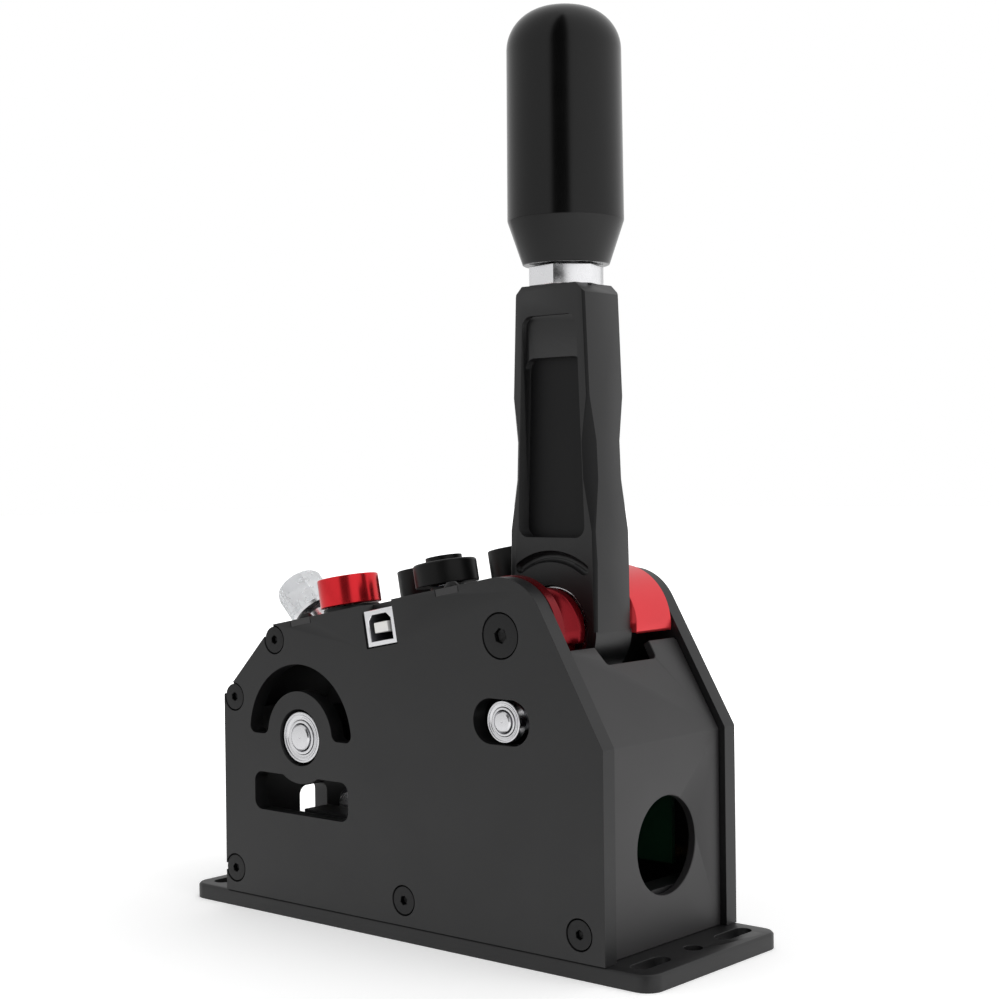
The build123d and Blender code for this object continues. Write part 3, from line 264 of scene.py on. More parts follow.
def vary(tree, shader, place, colour, roughness, patch, colour_share, roughness_share):
    """Slow uneven patches, as handling and the dye bath leave them: a little colour and a little gloss."""
    cloud = add(tree, "ShaderNodeTexNoise", {"Vector": place, "Scale": 1 / patch, "Detail": 3.0})
    darker = shade(colour, 1 - colour_share)
    lighter = shade(colour, 1 + colour_share)
    tint = add(tree, "ShaderNodeMix", {0: cloud, 6: darker, 7: lighter}, data_type="RGBA")
    tree.links.new(tint.outputs[2], shader.inputs["Base Color"])
    gloss = add(tree, "ShaderNodeMapRange", {
        "Value": cloud, "From Min": 0.25, "From Max": 0.75,
        "To Min": roughness * (1 - roughness_share), "To Max": roughness * (1 + roughness_share),
    })
    tree.links.new(gloss.outputs["Result"], shader.inputs["Roughness"])


def bump(tree, shader, height, distance, strength):
    relief = add(tree, "ShaderNodeBump", {"Height": height, "Distance": distance, "Strength": strength})
    tree.links.new(relief.outputs["Normal"], shader.inputs["Normal"])


def blasted_anodised(name, colour, roughness, gloss=0.5):
    """Aluminium blasted with beads and dyed: an even, finely dented skin that spreads every highlight."""
    material, tree, shader, place = new_material(name, colour, 0.0, roughness, Specular_IOR_Level=gloss)
    vary(tree, shader, place, colour, roughness, 25 * MM, 0.07, 0.08)
    grain = 1 / sizes().blast_grain
    dents = add(tree, "ShaderNodeTexNoise", {"Vector": place, "Scale": grain, "Detail": 2.0})
    bump(tree, shader, dents, 0.02 * MM, 0.35)
    return material


def powder_coated(name, colour):
    """Bent sheet with a fine powder coat: softer dents than blasting, a touch more spread."""
    material, tree, shader, place = new_material(name, colour, 0.0, 0.5, Specular_IOR_Level=0.7)
    vary(tree, shader, place, colour, 0.5, 30 * MM, 0.05, 0.06)
    peel = add(tree, "ShaderNodeTexNoise", {"Vector": place, "Scale": 1 / (0.5 * MM), "Detail": 1.0})
    bump(tree, shader, peel, 0.03 * MM, 0.25)
    return material


def turned_finish(name, colour, metallic, roughness, axis, ring_strength, gloss=0.5):
    """A turned surface: fine rings round the work's axis from the tool's feed, under the dye or bare."""
    material, tree, shader, place = new_material(
        name, colour, metallic, roughness, Specular_IOR_Level=gloss
    )
    vary(tree, shader, place, colour, roughness, 12 * MM, 0.05, 0.12)
    turn = axis.rotation_difference(X_AXIS).to_euler()
    along = add(tree, "ShaderNodeMapping", {"Vector": place, "Rotation": turn})
    rings = add(tree, "ShaderNodeTexWave", {
        "Vector": along, "Scale": WAVE_BAND / sizes().turning_pitch,
        "Distortion": 0.6, "Detail": 2.0, "Detail Scale": 2.0,
    }, bands_direction="X")
    bump(tree, shader, rings.outputs["Fac"], 0.01 * MM, ring_strength)
    return material


def ground_steel(name, colour, roughness):
    """Ground, milled or plated metal, wiped: bright, with hair-fine scratches along Y."""
    material, tree, shader, place = new_material(name, colour, 1.0, roughness)
    vary(tree, shader, place, colour, roughness, 4 * MM, 0.06, 0.3)
    long_way = add(tree, "ShaderNodeMapping", {"Vector": place, "Scale": (1.0, 0.12, 1.0)})
    scratches = add(tree, "ShaderNodeTexNoise", {
        "Vector": long_way, "Scale": 1 / (0.2 * MM), "Detail": 4.0,
    })
    bump(tree, shader, scratches, 0.008 * MM, 0.25)
    return material


def oxide_black(name, colour):
    """Black oxide on cold-formed steel: a dark, slightly oily satin with a faint mottle."""
    material, tree, shader, place = new_material(name, colour, 0.35, 0.42)
    vary(tree, shader, place, colour, 0.42, 1.5 * MM, 0.12, 0.18)
    mottle = add(tree, "ShaderNodeTexNoise", {"Vector": place, "Scale": 1 / (0.35 * MM), "Detail": 3.0})
    bump(tree, shader, mottle, 0.015 * MM, 0.3)
    return material


def moulded_plastic(name, colour, roughness):
    """Injection-moulded plastic: the mould's spark texture, very shallow."""
    material, tree, shader, place = new_material(name, colour, 0.0, roughness)
    vary(tree, shader, place, colour, roughness, 6 * MM, 0.03, 0.1)
    spark = add(tree, "ShaderNodeTexVoronoi", {"Vector": place, "Scale": 1 / (0.3 * MM)})
    bump(tree, shader, spark, 0.01 * MM, 0.2)
    return material


def clear_cast(name, colour):
    """Cast clear acrylic with frosted faces: lets light through milky, with flow lines from the casting."""
    material, tree, shader, place = new_material(
        name, colour, 0.0, 0.3, Transmission_Weight=0.4, IOR=1.49
    )
    flow = add(tree, "ShaderNodeTexNoise", {"Vector": place, "Scale": 1 / (2.5 * MM), "Detail": 2.0})
    haze = add(tree, "ShaderNodeMapRange", {
        "Value": flow, "From Min": 0.3, "From Max": 0.7, "To Min": 0.24, "To Max": 0.36,
    })
    tree.links.new(haze.outputs["Result"], shader.inputs["Roughness"])
    bump(tree, shader, flow, 0.03 * MM, 0.15)
    return material


def solder_mask(name, colour):
    """Epoxy board under solder mask: glossy, with copper tracks raised beneath it."""
    material, tree, shader, place = new_material(name, colour, 0.0, 0.3)
    tracks = add(tree, "ShaderNodeTexBrick", {
        "Vector": place, "Scale": 1 / (3 * MM), "Mortar Size": 0.08, "Mortar Smooth": 0.2,
        "Color1": colour, "Color2": shade(colour, 0.8), "Mortar": shade(colour, 2.2),
    })
    tree.links.new(tracks.outputs["Color"], shader.inputs["Base Color"])
    bump(tree, shader, tracks.outputs["Fac"], 0.035 * MM, 0.4)
    return material


def finish_of(name):
    """The material of that name, made the first time that it is asked for."""
    maker, colour, *rest = FINISHES[name]
    return bpy.data.materials.get(name) or maker(name, getattr(colours(), colour), *rest)


# Each finish: its function, its colour and the function's own numbers.
FINISHES = {
    "blasted_black_aluminium": (blasted_anodised, "plate_black", 0.46),
    "powder_coated_panel": (powder_coated, "panel_black"),
    "blasted_black_lever": (blasted_anodised, "lever_black", 0.42, 0.54),
    # Painted shade: the lever's own finish with less gloss, so that its pocket floors and bevels render darker.
    "blasted_black_pocket": (blasted_anodised, "lever_black", 0.5, 0.25),
    "turned_black_grip": (turned_finish, "grip_black", 0.0, 0.2, Z_AXIS, 0.1, 0.34),
    "turned_black_knob": (turned_finish, "knob_black", 0.0, 0.36, cover_normal, 0.15, 0.2),
    "turned_red_aluminium": (turned_finish, "knob_red", 0.8, 0.2, cover_normal, 0.2),
    "turned_red_drum": (turned_finish, "drum_red", 0.6, 0.32, Y_AXIS, 0.2),
    # Painted shade: the drum's red darkened for the spool.
    "turned_red_spool": (turned_finish, "spool_red", 0.8, 0.25, Y_AXIS, 0.2),
    "black_oxide_steel": (oxide_black, "screw_black"),
    "ground_steel": (ground_steel, "steel", 0.22),
    "pressed_bearing_steel": (ground_steel, "steel", 0.28),
    "blackened_link_steel": (ground_steel, "link_steel", 0.4),
    "spring_wire": (ground_steel, "link_steel", 0.35),
    "milled_aluminium": (ground_steel, "bare_aluminium", 0.4),
    "plated_nut": (ground_steel, "plated_nut", 0.26),
    # Painted shade inside the data socket.
    "plated_shell_inside": (ground_steel, "shell_inside", 0.4),
    "plated_shell": (ground_steel, "plated_shell", 0.25),
    "nickel_magnet": (ground_steel, "steel", 0.2),
    "turned_brass": (turned_finish, "brass", 1.0, 0.28, cover_normal, 0.15),
    "moulded_white": (moulded_plastic, "socket_white", 0.4),
    # Black moulding for the chips, and painted shade on the drum's milled step.
    "moulded_black": (moulded_plastic, "knob_black", 0.5),
    "moulded_blue": (moulded_plastic, "sensor_blue", 0.4),
    "cast_clear_knob": (clear_cast, "clear_plastic"),
    "green_solder_mask": (solder_mask, "board_green"),
}


def new_object(name, data):
    """An object of that name in the scene."""
    made = bpy.data.objects.new(name, data)
    bpy.context.scene.collection.objects.link(made)
    return made


def smooth(mesh):
    """Smooth faces with sharp corners kept."""
    mesh.shade_smooth()
    mesh.set_sharp_from_angle(angle=SHARP_ANGLE)


def smooth_object(name, work):
    """The worked mesh as a smooth object of that name."""
    mesh = bpy.data.meshes.new(name)
    work.to_mesh(mesh)
    work.free()
    smooth(mesh)
    return new_object(name, mesh)


def plain_copy(piece, name):
    """The piece with its modifiers worked in, as a plain mesh of its own."""
    bpy.context.view_layer.update()
    graph = bpy.context.evaluated_depsgraph_get()
    mesh = bpy.data.meshes.new_from_object(
        piece.evaluated_get(graph), preserve_all_data_layers=True, depsgraph=graph
    )
    bpy.data.objects.remove(piece)
    mesh.name = name
    return new_object(name, mesh)


def seat(piece, node, finish, bend=None):
    """Gives a piece its finish, hangs it on its body unless it bends, when its place is baked into its mesh, and
    hides the node that it stands for.
    """
    piece.data.materials.clear()
    piece.data.materials.append(finish_of(finish))
    if bend:
        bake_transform(piece)
    else:
        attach(piece, body_of_node[node])
    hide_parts(node)
    return piece


def dressed(node, finish, edge=None, segments=1, bend=None):
    """A frame solid's copy with merged corners and broken edges, by the small edge if none is given."""
    edge = sizes().small_edge if edge is None else edge
    work = bmesh.new()
    work.from_mesh(nodes[node].data)
    bmesh.ops.remove_doubles(work, verts=work.verts, dist=MERGE_DISTANCE)
    bmesh.ops.dissolve_limit(work, angle_limit=FLAT_ANGLE, verts=work.verts, edges=work.edges)
    piece = smooth_object(f"{node}_rough", work)
    if edge:
        broken = piece.modifiers.new("broken edge", "BEVEL")
        broken.width = edge
        broken.segments = segments
        broken.limit_method = "ANGLE"
        broken.angle_limit = CREASE_ANGLE
    made = plain_copy(piece, f"{node}_finished")
    smooth(made.data)
    return seat(made, node, finish, bend)


def dress_all(names, finish, edge=None):
    for node in names:
        dressed(node, finish, edge)


def solids(node):
    """The points of each separate solid in a frame node, as arrays in metres."""
    mesh = nodes[node].data
    points = np.array([v.co for v in mesh.vertices], float)
    keys, first = {}, []
    for point in np.round(points / MERGE_DISTANCE).astype(int):
        first.append(keys.setdefault(tuple(point), len(keys)))
    parent = list(range(len(keys)))

    def root(item):
        while parent[item] != item:
            parent[item] = parent[parent[item]]
            item = parent[item]
        return item

    for face in mesh.polygons:
        corners = [first[v] for v in face.vertices]
        for other in corners[1:]:
            parent[root(other)] = root(corners[0])
    groups = {}
    for index, key in enumerate(first):
        groups.setdefault(root(key), []).append(points[index])
    return [np.array(group) for group in groups.values()]


def along_and_out(points, foot, axis):
    """How far points lie along an axis from its foot, and how far out from it."""
    along = (points - np.array(foot)) @ np.array(axis)
    out = points - np.array(foot) - np.outer(along, np.array(axis))
    return along, np.linalg.norm(out, axis=1)


def turned_size(points, axis):
    """Foot, height and radius of a turned solid, measured on its points along a given axis."""
    side = axis.orthogonal().normalized()
    middle = Vector()
    for way in (side, axis.cross(side)):
        spread = points @ np.array(way)
        middle += way * float(spread.min() + spread.max()) / 2
    heights, reach = along_and_out(points, middle, axis)
    return middle + axis * float(heights.min()), float(np.ptp(heights)), float(reach.max())


def corner_arc(before, corner, after, radius):
    """Points of the round that replaces a corner of a profile."""
    back = (before - corner).normalized()
    ahead = (after - corner).normalized()
    half = back.angle(ahead) / 2
    if radius <= 0 or half > STRAIGHT_HALF:
        return [corner]
    shorter = min((before - corner).length, (after - corner).length)
    reach = min(radius / tan(half), FILLET_SHARE * shorter)
    radius = reach * tan(half)
    centre = corner + (back + ahead).normalized() * (radius / sin(half))
    start = corner + back * reach - centre
    stop = corner + ahead * reach - centre
    turn = start.angle_signed(stop)
    steps = max(1, round(abs(turn) / FILLET_STEP))
    return [centre + Matrix.Rotation(-turn * step / steps, 2) @ start for step in range(steps + 1)]


def rounded(profile, closed=False):
    """A profile of (radius, height, round) corners with its rounds drawn in."""
    corners = [Vector(point[:2]) for point in profile]
    points = []
    for index, (radius, height, fillet) in enumerate(profile):
        if not closed and index in (0, len(profile) - 1):
            points.append(corners[index])
            continue
        after = corners[(index + 1) % len(profile)]
        points += corner_arc(corners[index - 1], corners[index], after, fillet)
    return points


def whole(half, width):
    """A turned piece's whole profile from the half at its foot."""
    return half + [(r, width - h, fillet) for r, h, fillet in reversed(half)]


def ring(height, reach_at):
    """Points round Z at one height, as far out as reach_at says for each angle."""
    angles = [2 * pi * i / RING_POINTS for i in range(RING_POINTS)]
    return [Vector((reach_at(a) * cos(a), reach_at(a) * sin(a), height)) for a in angles]


def round_ring(radius, height):
    return ring(height, lambda angle: radius)


def hex_reach(angle, flats):
    """How far a hexagon's side is from its middle in one direction."""
    offset = (angle + pi / 6) % (pi / 3) - pi / 6
    return flats / 2 / cos(offset)


def hex_ring(flats, height):
    return ring(height, lambda angle: hex_reach(angle, flats))


def skin(name, rings, closed=False):
    """A mesh through rings of equal count; open ends are capped, or the last ring meets the first."""
    work = bmesh.new()
    loops = [[work.verts.new(point) for point in ring] for ring in rings]
    pairs = list(zip(loops, loops[1:])) + ([(loops[-1], loops[0])] if closed else [])
    for low, high in pairs:
        for i in range(RING_POINTS):
            j = (i + 1) % RING_POINTS
            work.faces.new((low[i], low[j], high[j], high[i]))
    if not closed:
        work.faces.new(list(reversed(loops[0])))
        work.faces.new(loops[-1])
    bmesh.ops.remove_doubles(work, verts=work.verts, dist=MERGE_DISTANCE)
    bmesh.ops.recalc_face_normals(work, faces=work.faces)
    return smooth_object(name, work)


def stand(piece, foot, axis):
    """Turns a piece drawn along Z to an axis and sets it on its foot, in its mesh."""
    turn = Z_AXIS.rotation_difference(axis).to_matrix().to_4x4()
    piece.data.transform(Matrix.Translation(foot) @ turn)
    return piece


def turned(name, profile, foot, axis, closed=False):
    """A turned piece from its half profile of (radius, height, round)."""
    rings = [round_ring(point.x, point.y) for point in rounded(profile, closed)]
    return stand(skin(name, rings, closed), foot, axis)


def join(name, pieces):
    """Several meshes as one piece."""
    work = bmesh.new()
    for piece in pieces:
        work.from_mesh(piece.data)
        bpy.data.objects.remove(piece)
    return smooth_object(name, work)


def scatter_tree():
    """Sets one fastener on every point, aimed along the point's own axis and turned by chance."""
    tree = bpy.data.node_groups.new("set_fasteners", "GeometryNodeTree")
    for name, kind in (("Geometry", "NodeSocketGeometry"), ("Fastener", "NodeSocketObject"),
                       ("Turn seed", "NodeSocketInt"), ("Finish", "NodeSocketMaterial")):
        tree.interface.new_socket(name, in_out="INPUT", socket_type=kind)
    tree.interface.new_socket("Geometry", in_out="OUTPUT", socket_type="NodeSocketGeometry")
    given = add(tree, "NodeGroupInput")
    fastener = add(tree, "GeometryNodeObjectInfo", {"Object": given.outputs["Fastener"]})
    aim = add(tree, "GeometryNodeInputNamedAttribute", {"Name": "aim"}, data_type="FLOAT_VECTOR")
    chance = add(tree, "FunctionNodeRandomValue", {"Seed": given.outputs["Turn seed"], 2: 0.0, 3: 2 * pi})
    spin = add(tree, "FunctionNodeAxisAngleToRotation", {"Axis": (0, 0, 1), "Angle": chance.outputs[1]})
    aimed = add(tree, "FunctionNodeAlignRotationToVector", {"Rotation": spin, "Vector": aim}, axis="Z")
    placed = add(tree, "GeometryNodeInstanceOnPoints", {
        "Points": given.outputs["Geometry"], "Instance": fastener.outputs["Geometry"],
        "Rotation": aimed,
    })
    real = add(tree, "GeometryNodeRealizeInstances", {"Geometry": placed})
    finished = add(tree, "GeometryNodeSetMaterial", {"Geometry": real, "Material": given.outputs["Finish"]})
    add(tree, "NodeGroupOutput", {"Geometry": finished})
    return tree


def set_fasteners(node, places, fastener, finish):
    """Runs the scatter tree on the given (point, axis) places and stands the result in for a node."""
    tree = bpy.data.node_groups.get("set_fasteners") or scatter_tree()
    mesh = bpy.data.meshes.new(f"{node}_points")
    mesh.from_pydata([place for place, _ in places], [], [])
    aims = mesh.attributes.new("aim", "FLOAT_VECTOR", "POINT")
    aims.data.foreach_set("vector", [value for _, axis in places for value in axis])
    piece = new_object(f"{node}_points", mesh)
    modifier = piece.modifiers.new("fasteners", "NODES")
    modifier.node_group = tree
    values = {"Fastener": fastener, "Turn seed": sizes().screw_turn_seed, "Finish": finish_of(finish)}
    for item in tree.interface.items_tree:
        if item.in_out == "INPUT" and item.name in values:
            modifier[item.identifier] = values[item.name]
    made = plain_copy(piece, f"{node}_set")
    bpy.data.objects.remove(fastener)
    smooth(made.data)
    return seat(made, node, finish)


def socket_screw(name, head_profile, key, key_depth):
    """A screw with a hexagon socket: rings from the socket's floor, over the head, down to the tip."""
    edge = 0.12 * MM
    drill_point = 0.2 * key
    rings = [
        hex_ring(key * 0.02, -key_depth - drill_point),
        hex_ring(key * 0.98, -key_depth),
        hex_ring(key, -edge),
        hex_ring(key + 2 * edge, 0.0),
    ]
    rise = head_profile[0][1]
    for ring in rings:
        for point in ring:
            point.z += rise
    points = rounded([(key / 2 + 2 * edge, rise, 0.0)] + head_profile[1:])
    rings += [round_ring(point.x, point.y) for point in points[1:]]
    return skin(name, rings)


def camera_object():
    """The camera at the photograph's viewpoint."""
    data = bpy.data.cameras.new("camera")
    data.sensor_width = 36.0
    data.lens = CAMERA_LENS
    data.clip_start = 10 * MM
    data.clip_end = 20.0
    camera = new_object("camera", data)
    yaw, pitch, roll = (radians(angle) for angle in CAMERA_TURN)
    look = Matrix.Rotation(yaw, 3, "Z") @ Matrix.Rotation(pi / 2 + pitch, 3, "X")
    camera.rotation_euler = (look @ Matrix.Rotation(roll, 3, "Z")).to_euler()
    camera.location = Vector(CAMERA_PLACE) * MM + X_AXIS * pivot.x
    bpy.context.scene.camera = camera
    return camera


def soft_light(name, place, width, height, power):
    """A large soft light that lights the pieces but never shows, not even in gloss."""
    data = bpy.data.lights.new(name, "AREA")
    data.shape = "RECTANGLE"
    data.size = width
    data.size_y = height
    data.energy = power
    light = new_object(name, data)
    light.visible_camera = False
    light.visible_glossy = False
    light.location = place
    light.rotation_euler = (LIGHT_AIM - Vector(place)).to_track_quat("-Z", "Y").to_euler()


class Step:
    """Runs an operator's own part and reports it as finished."""

    def execute(self, context):
        self.make()
        return {"FINISHED"}


class SHIFTER_OT_stage(Step, bpy.types.Operator):
    """Makes the floor, the studio's lights, its white surroundings and the camera"""

    bl_idname = "shifter.stage"
    bl_label = "Stage"

    def make(self):
        self.surroundings(camera_object())
        corners = [(x * FLOOR_REACH, y * FLOOR_REACH, 0) for x, y in ((-1, -1), (1, -1), (1, 1), (-1, 1))]
        floor = new_object("floor", bpy.data.meshes.new("floor"))
        floor.data.from_pydata(corners, [], [(0, 1, 2, 3)])
        floor.data.materials.append(self.floor_material())
        for row in SOFTBOXES:
            soft_light(*row)

    def floor_material(self):
        """Seamless white paper that shines more with distance, so that only the contact shadow shows."""
        material, tree, shader, place = new_material("white_paper", linear("#f4f4f4"), 0.0, 0.9)
        fibres = add(tree, "ShaderNodeTexNoise", {"Vector": place, "Scale": 1 / (4 * MM)})
        bump(tree, shader, fibres, 0.02 * MM, 0.1)
        away = add(tree, "ShaderNodeVectorMath", {0: place}, operation="LENGTH")
        shine = add(tree, "ShaderNodeMapRange", {
            "Value": away.outputs["Value"], "From Min": 0.1, "From Max": 0.45,
            "To Min": 0.25, "To Max": 1.0,
        }, interpolation_type="SMOOTHSTEP")
        across = add(tree, "ShaderNodeVectorMath", {0: place, 1: (0.7, 0.7, 0.0)}, operation="DOT_PRODUCT")
        mirrored = add(tree, "ShaderNodeMapRange", {
            "Value": across.outputs["Value"], "From Min": -0.6, "From Max": 0.6,
            "To Min": 0.05, "To Max": 0.5,
        })
        path = add(tree, "ShaderNodeLightPath")
        reflected = add(tree, "ShaderNodeMath", {
            0: path.outputs["Is Glossy Ray"], 1: path.outputs["Is Transmission Ray"],
        }, operation="ADD")
        faint = add(tree, "ShaderNodeMath", {0: reflected, 1: mirrored}, operation="MULTIPLY")
        lift = add(tree, "ShaderNodeMath", {
            0: path.outputs["Is Camera Ray"], 1: shine, 2: faint,
        }, operation="MULTIPLY_ADD")
        shader.inputs["Emission Color"].default_value = (1, 1, 1, 1)
        tree.links.new(lift.outputs["Value"], shader.inputs["Emission Strength"])
        return material

    def surroundings(self, camera):
        """White all round, with one dark gap behind the camera that gloss picks up as a narrow band."""
        world = bpy.data.worlds.new("studio")
        world.use_nodes = True
        bpy.context.scene.world = world
        tree = world.node_tree
        tree.nodes.clear()
        gap = Vector((camera.location.x, camera.location.y, 0)).normalized()
        gap.rotate(Matrix.Rotation(GAP_TURN, 3, "Z"))
        right = Z_AXIS.cross(gap)
        way = add(tree, "ShaderNodeTexCoord").outputs["Generated"]
        level = add(tree, "ShaderNodeVectorMath", {0: way, 1: (1, 1, 0)}, operation="MULTIPLY")
        unit = add(tree, "ShaderNodeVectorMath", {0: level}, operation="NORMALIZE")
        facing = add(tree, "ShaderNodeVectorMath", {0: unit, 1: gap}, operation="DOT_PRODUCT")
        beside = add(tree, "ShaderNodeVectorMath", {0: unit, 1: right}, operation="DOT_PRODUCT")
        sides = add(tree, "ShaderNodeMapRange", {
            "Value": beside.outputs["Value"], "From Min": -1.0, "From Max": 1.0,
            "To Min": 0.72, "To Max": 1.0,
        })
        band = add(tree, "ShaderNodeMapRange", {
            "Value": facing.outputs["Value"], "From Min": cos(GAP_OUTSIDE), "From Max": cos(GAP_INSIDE),
            "To Min": sides, "To Max": 0.02,
        }, interpolation_type="SMOOTHSTEP")
        path = add(tree, "ShaderNodeLightPath")
        seen = add(tree, "ShaderNodeMath", {
            0: path.outputs["Is Camera Ray"], 1: path.outputs["Is Transmission Ray"],
        }, operation="MAXIMUM")
        lit = add(tree, "ShaderNodeMix", {0: path.outputs["Is Glossy Ray"], 2: 0.42, 3: band})
        strength = add(tree, "ShaderNodeMix", {0: seen, 2: lit, 3: 1.0})
        background = add(tree, "ShaderNodeBackground", {"Color": (1, 1, 1, 1), "Strength": strength})
        add(tree, "ShaderNodeOutputWorld", {"Surface": background})


class SHIFTER_OT_housing(Step, bpy.types.Operator):
    """Finishes the plates, blocks and bent sheets of the housing"""

    bl_idname = "shifter.housing"
    bl_label = "Housing"

    def make(self):
        dress_all(("base_plate", "bevel_plate"), "blasted_black_aluminium", sizes().plate_edge)
        for node in ("port_side_plate", "far_side_plate"):
            self.groove_seat(dressed(node, "blasted_black_aluminium", sizes().plate_edge))
        rear = dressed("rear_plate", "blasted_black_aluminium", sizes().plate_edge)
        top = max(v.co.z for v in rear.data.vertices)
        for vertex in rear.data.vertices:
            if vertex.co.z > top - sizes().plate_edge * EDGE_REACH:
                vertex.co.z += sizes().rear_rise
        dress_all(("front_panel", "top_cover"), "powder_coated_panel", sizes().sheet_edge)
        dress_all(("base_blocks", "spring_bracket"), "blasted_black_aluminium")

    def groove_seat(self, plate):
        """Opens the outer mouth of the bearing's seat into a narrow V groove round the bearing."""
        seat_r = turned_size(solids("rear_bearing_shells")[0], Y_AXIS)[2]
        axis = Vector(joint_of["rocker_swing"]["pos_m"])
        edge = sizes().plate_edge * EDGE_REACH
        for vertex in plate.data.vertices:
            across = Vector((vertex.co.x - axis.x, 0, vertex.co.z - axis.z))
            outside = abs(vertex.co.y) > cad_box[1][1] - edge
            if outside and across.length < seat_r + edge:
                vertex.co += across.normalized() * sizes().seat_groove


class SHIFTER_OT_screws(Step, bpy.types.Operator):
    """Sets every screw with a hexagon socket, each turned to where it was tightened"""

    bl_idname = "shifter.screws"
    bl_label = "Screws"

    def make(self):
        self.countersunk("side_screws", Y_AXIS, sizes().key_width)
        self.countersunk("pivot_screws", Y_AXIS, sizes().pivot_key_width)
        self.countersunk("base_screws", Z_AXIS, sizes().base_key_width)
        self.button("cover_screws")

    def countersunk(self, node, axis, key):
        """Flat heads that lie in the plate; which way each one faces follows from where its head is."""
        places = []
        for points in solids(node):
            foot, height, radius = turned_size(points, axis)
            along, out = along_and_out(points, foot, axis)
            upright = along[out > 0.98 * radius].mean() > height / 2
            places.append((foot + axis * height, axis) if upright else (foot, -axis))
        _, height, radius = turned_size(solids(node)[0], axis)
        radius -= sizes().screw_gap
        shank = 0.46 * radius
        rim = 0.4 * MM
        profile = [
            (0.0, 0.0, 0.0),
            (radius, 0.0, 0.15 * MM),
            (radius, -rim, 0.0),
            (shank, -rim - (radius - shank), 0.1 * MM),
            (shank, -height, 0.3 * MM),
            (shank * 0.1, -height, 0.0),
        ]
        screw = socket_screw("countersunk", profile, key, sizes().key_depth)
        set_fasteners(node, places, screw, "black_oxide_steel")

    def button(self, node):
        """Low domed heads on the cover's tabs."""
        places = []
        for points in solids(node):
            foot, height, radius = turned_size(points, cover_normal)
            places.append((foot + cover_normal * height, cover_normal))
        head = 1.5 * MM
        shank = 0.54 * radius
        profile = [
            (0.0, 0.0, 0.0),
            (radius * 0.62, 0.0, 0.6 * MM),
            (radius, -head * 0.8, 0.5 * MM),
            (radius, -head, 0.1 * MM),
            (shank, -head, 0.0),
            (shank, -height, 0.2 * MM),
            (shank * 0.1, -height, 0.0),
        ]
        screw = socket_screw("button", profile, sizes().cover_key_width, sizes().cover_key_depth)
        set_fasteners(node, places, screw, "black_oxide_steel")


class SHIFTER_OT_bearings(Step, bpy.types.Operator):
    """Turns the inner and outer rings of the ball bearings, with their pressed shields"""

    bl_idname = "shifter.bearings"
    bl_label = "Bearings"

    def make(self):
        self.rings("rear_bearing_cores", "rear_bearing_shells", "rear_shaft")
        self.rings("roller_cores", "port_roller", "crosspin")
        self.rings("roller_cores", "far_roller", "crosspin")
        self.rings("lever_bearing_cores", "lever_bearing_shells", "pivot_shaft")

    def rings(self, core_node, shell_node, shaft_node):
        bore = turned_size(solids(shaft_node)[0], Y_AXIS)[2]
        core_r = turned_size(solids(core_node)[0], Y_AXIS)[2]
        if not nodes[core_node].hide_render:
            cores = [self.core(points, bore) for points in solids(core_node)]
            seat(join(f"{core_node}_turned", cores), core_node, "pressed_bearing_steel")
        shells = [self.shell(points, core_r) for points in solids(shell_node)]
        seat(join(f"{shell_node}_turned", shells), shell_node, "pressed_bearing_steel")

    def core(self, points, bore):
        """Inner ring, with a bore that opens to a wide chamfer at both ends."""
        foot, width, radius = turned_size(points, Y_AXIS)
        edge = 0.2 * MM
        chamfer = 1.2 * MM
        low = sizes().bearing_sink
        mouth = bore + sizes().shaft_gap
        half = [(bore, low + chamfer, 0.0), (mouth, low, edge * 0.5), (radius, low, edge)]
        return turned("core", whole(half, width), foot, Y_AXIS, closed=True)

    def shell(self, points, core_r):
        """Outer ring with a rounded corner, a snap groove and a dished shield pressed into it."""
        foot, width, radius = turned_size(points, Y_AXIS)
        low = sizes().bearing_sink
        wall = radius - core_r
        land = radius - 0.28 * wall
        dish = core_r + 0.3 * wall
        dish_height = low + 0.08 * width
        shield_height = low + 0.035 * width
        groove_height = low + 0.4 * MM
        edge = 0.1 * wall
        half = [
            (core_r + sizes().shield_gap, dish_height, 0.0),
            (dish, dish_height, edge),
            (dish + 0.12 * wall, shield_height, edge),
            (land - 0.14 * wall, shield_height, 0.0),
            (land - 0.12 * wall, groove_height, 0.0),
            (land, groove_height, 0.0),
            (land, low, edge * 0.5),
            (radius, low, edge * 1.5),
        ]
        return turned("shell", whole(half, width), foot, Y_AXIS, closed=True)


class SHIFTER_OT_shafts(Step, bpy.types.Operator):
    """Turns the shafts, pins and sleeves"""

    bl_idname = "shifter.shafts"
    bl_label = "Shafts and pins"

    def make(self):
        for node in ("rear_shaft", "crosspin"):
            foot, height, radius = turned_size(solids(node)[0], Y_AXIS)
            if node == "rear_shaft":
                # Its ends lie flush with the plates.
                height += 2 * (foot.y - cad_box[0][1])
                foot.y = cad_box[0][1]
            profile = whole(self.centred_end(radius), height)
            seat(turned(f"{node}_ground", profile, foot, Y_AXIS), node, "ground_steel")
        dress_all(("shaft_sleeves", "crosspin_sleeves"), "milled_aluminium")
        dress_all(("pivot_shaft", "rocker_pin", "grip_stud"), "ground_steel")

    def centred_end(self, radius):
        """A bevelled shaft end with a faint dimple from the lathe's centre."""
        bevel = 0.45 * MM
        dimple = 0.1 * radius
        return [
            (0.02 * radius, dimple * 0.5, 0.0),
            (dimple, 0.0, 0.0),
            (radius - bevel, 0.0, 0.1 * MM),
            (radius, bevel, 0.1 * MM),
        ]


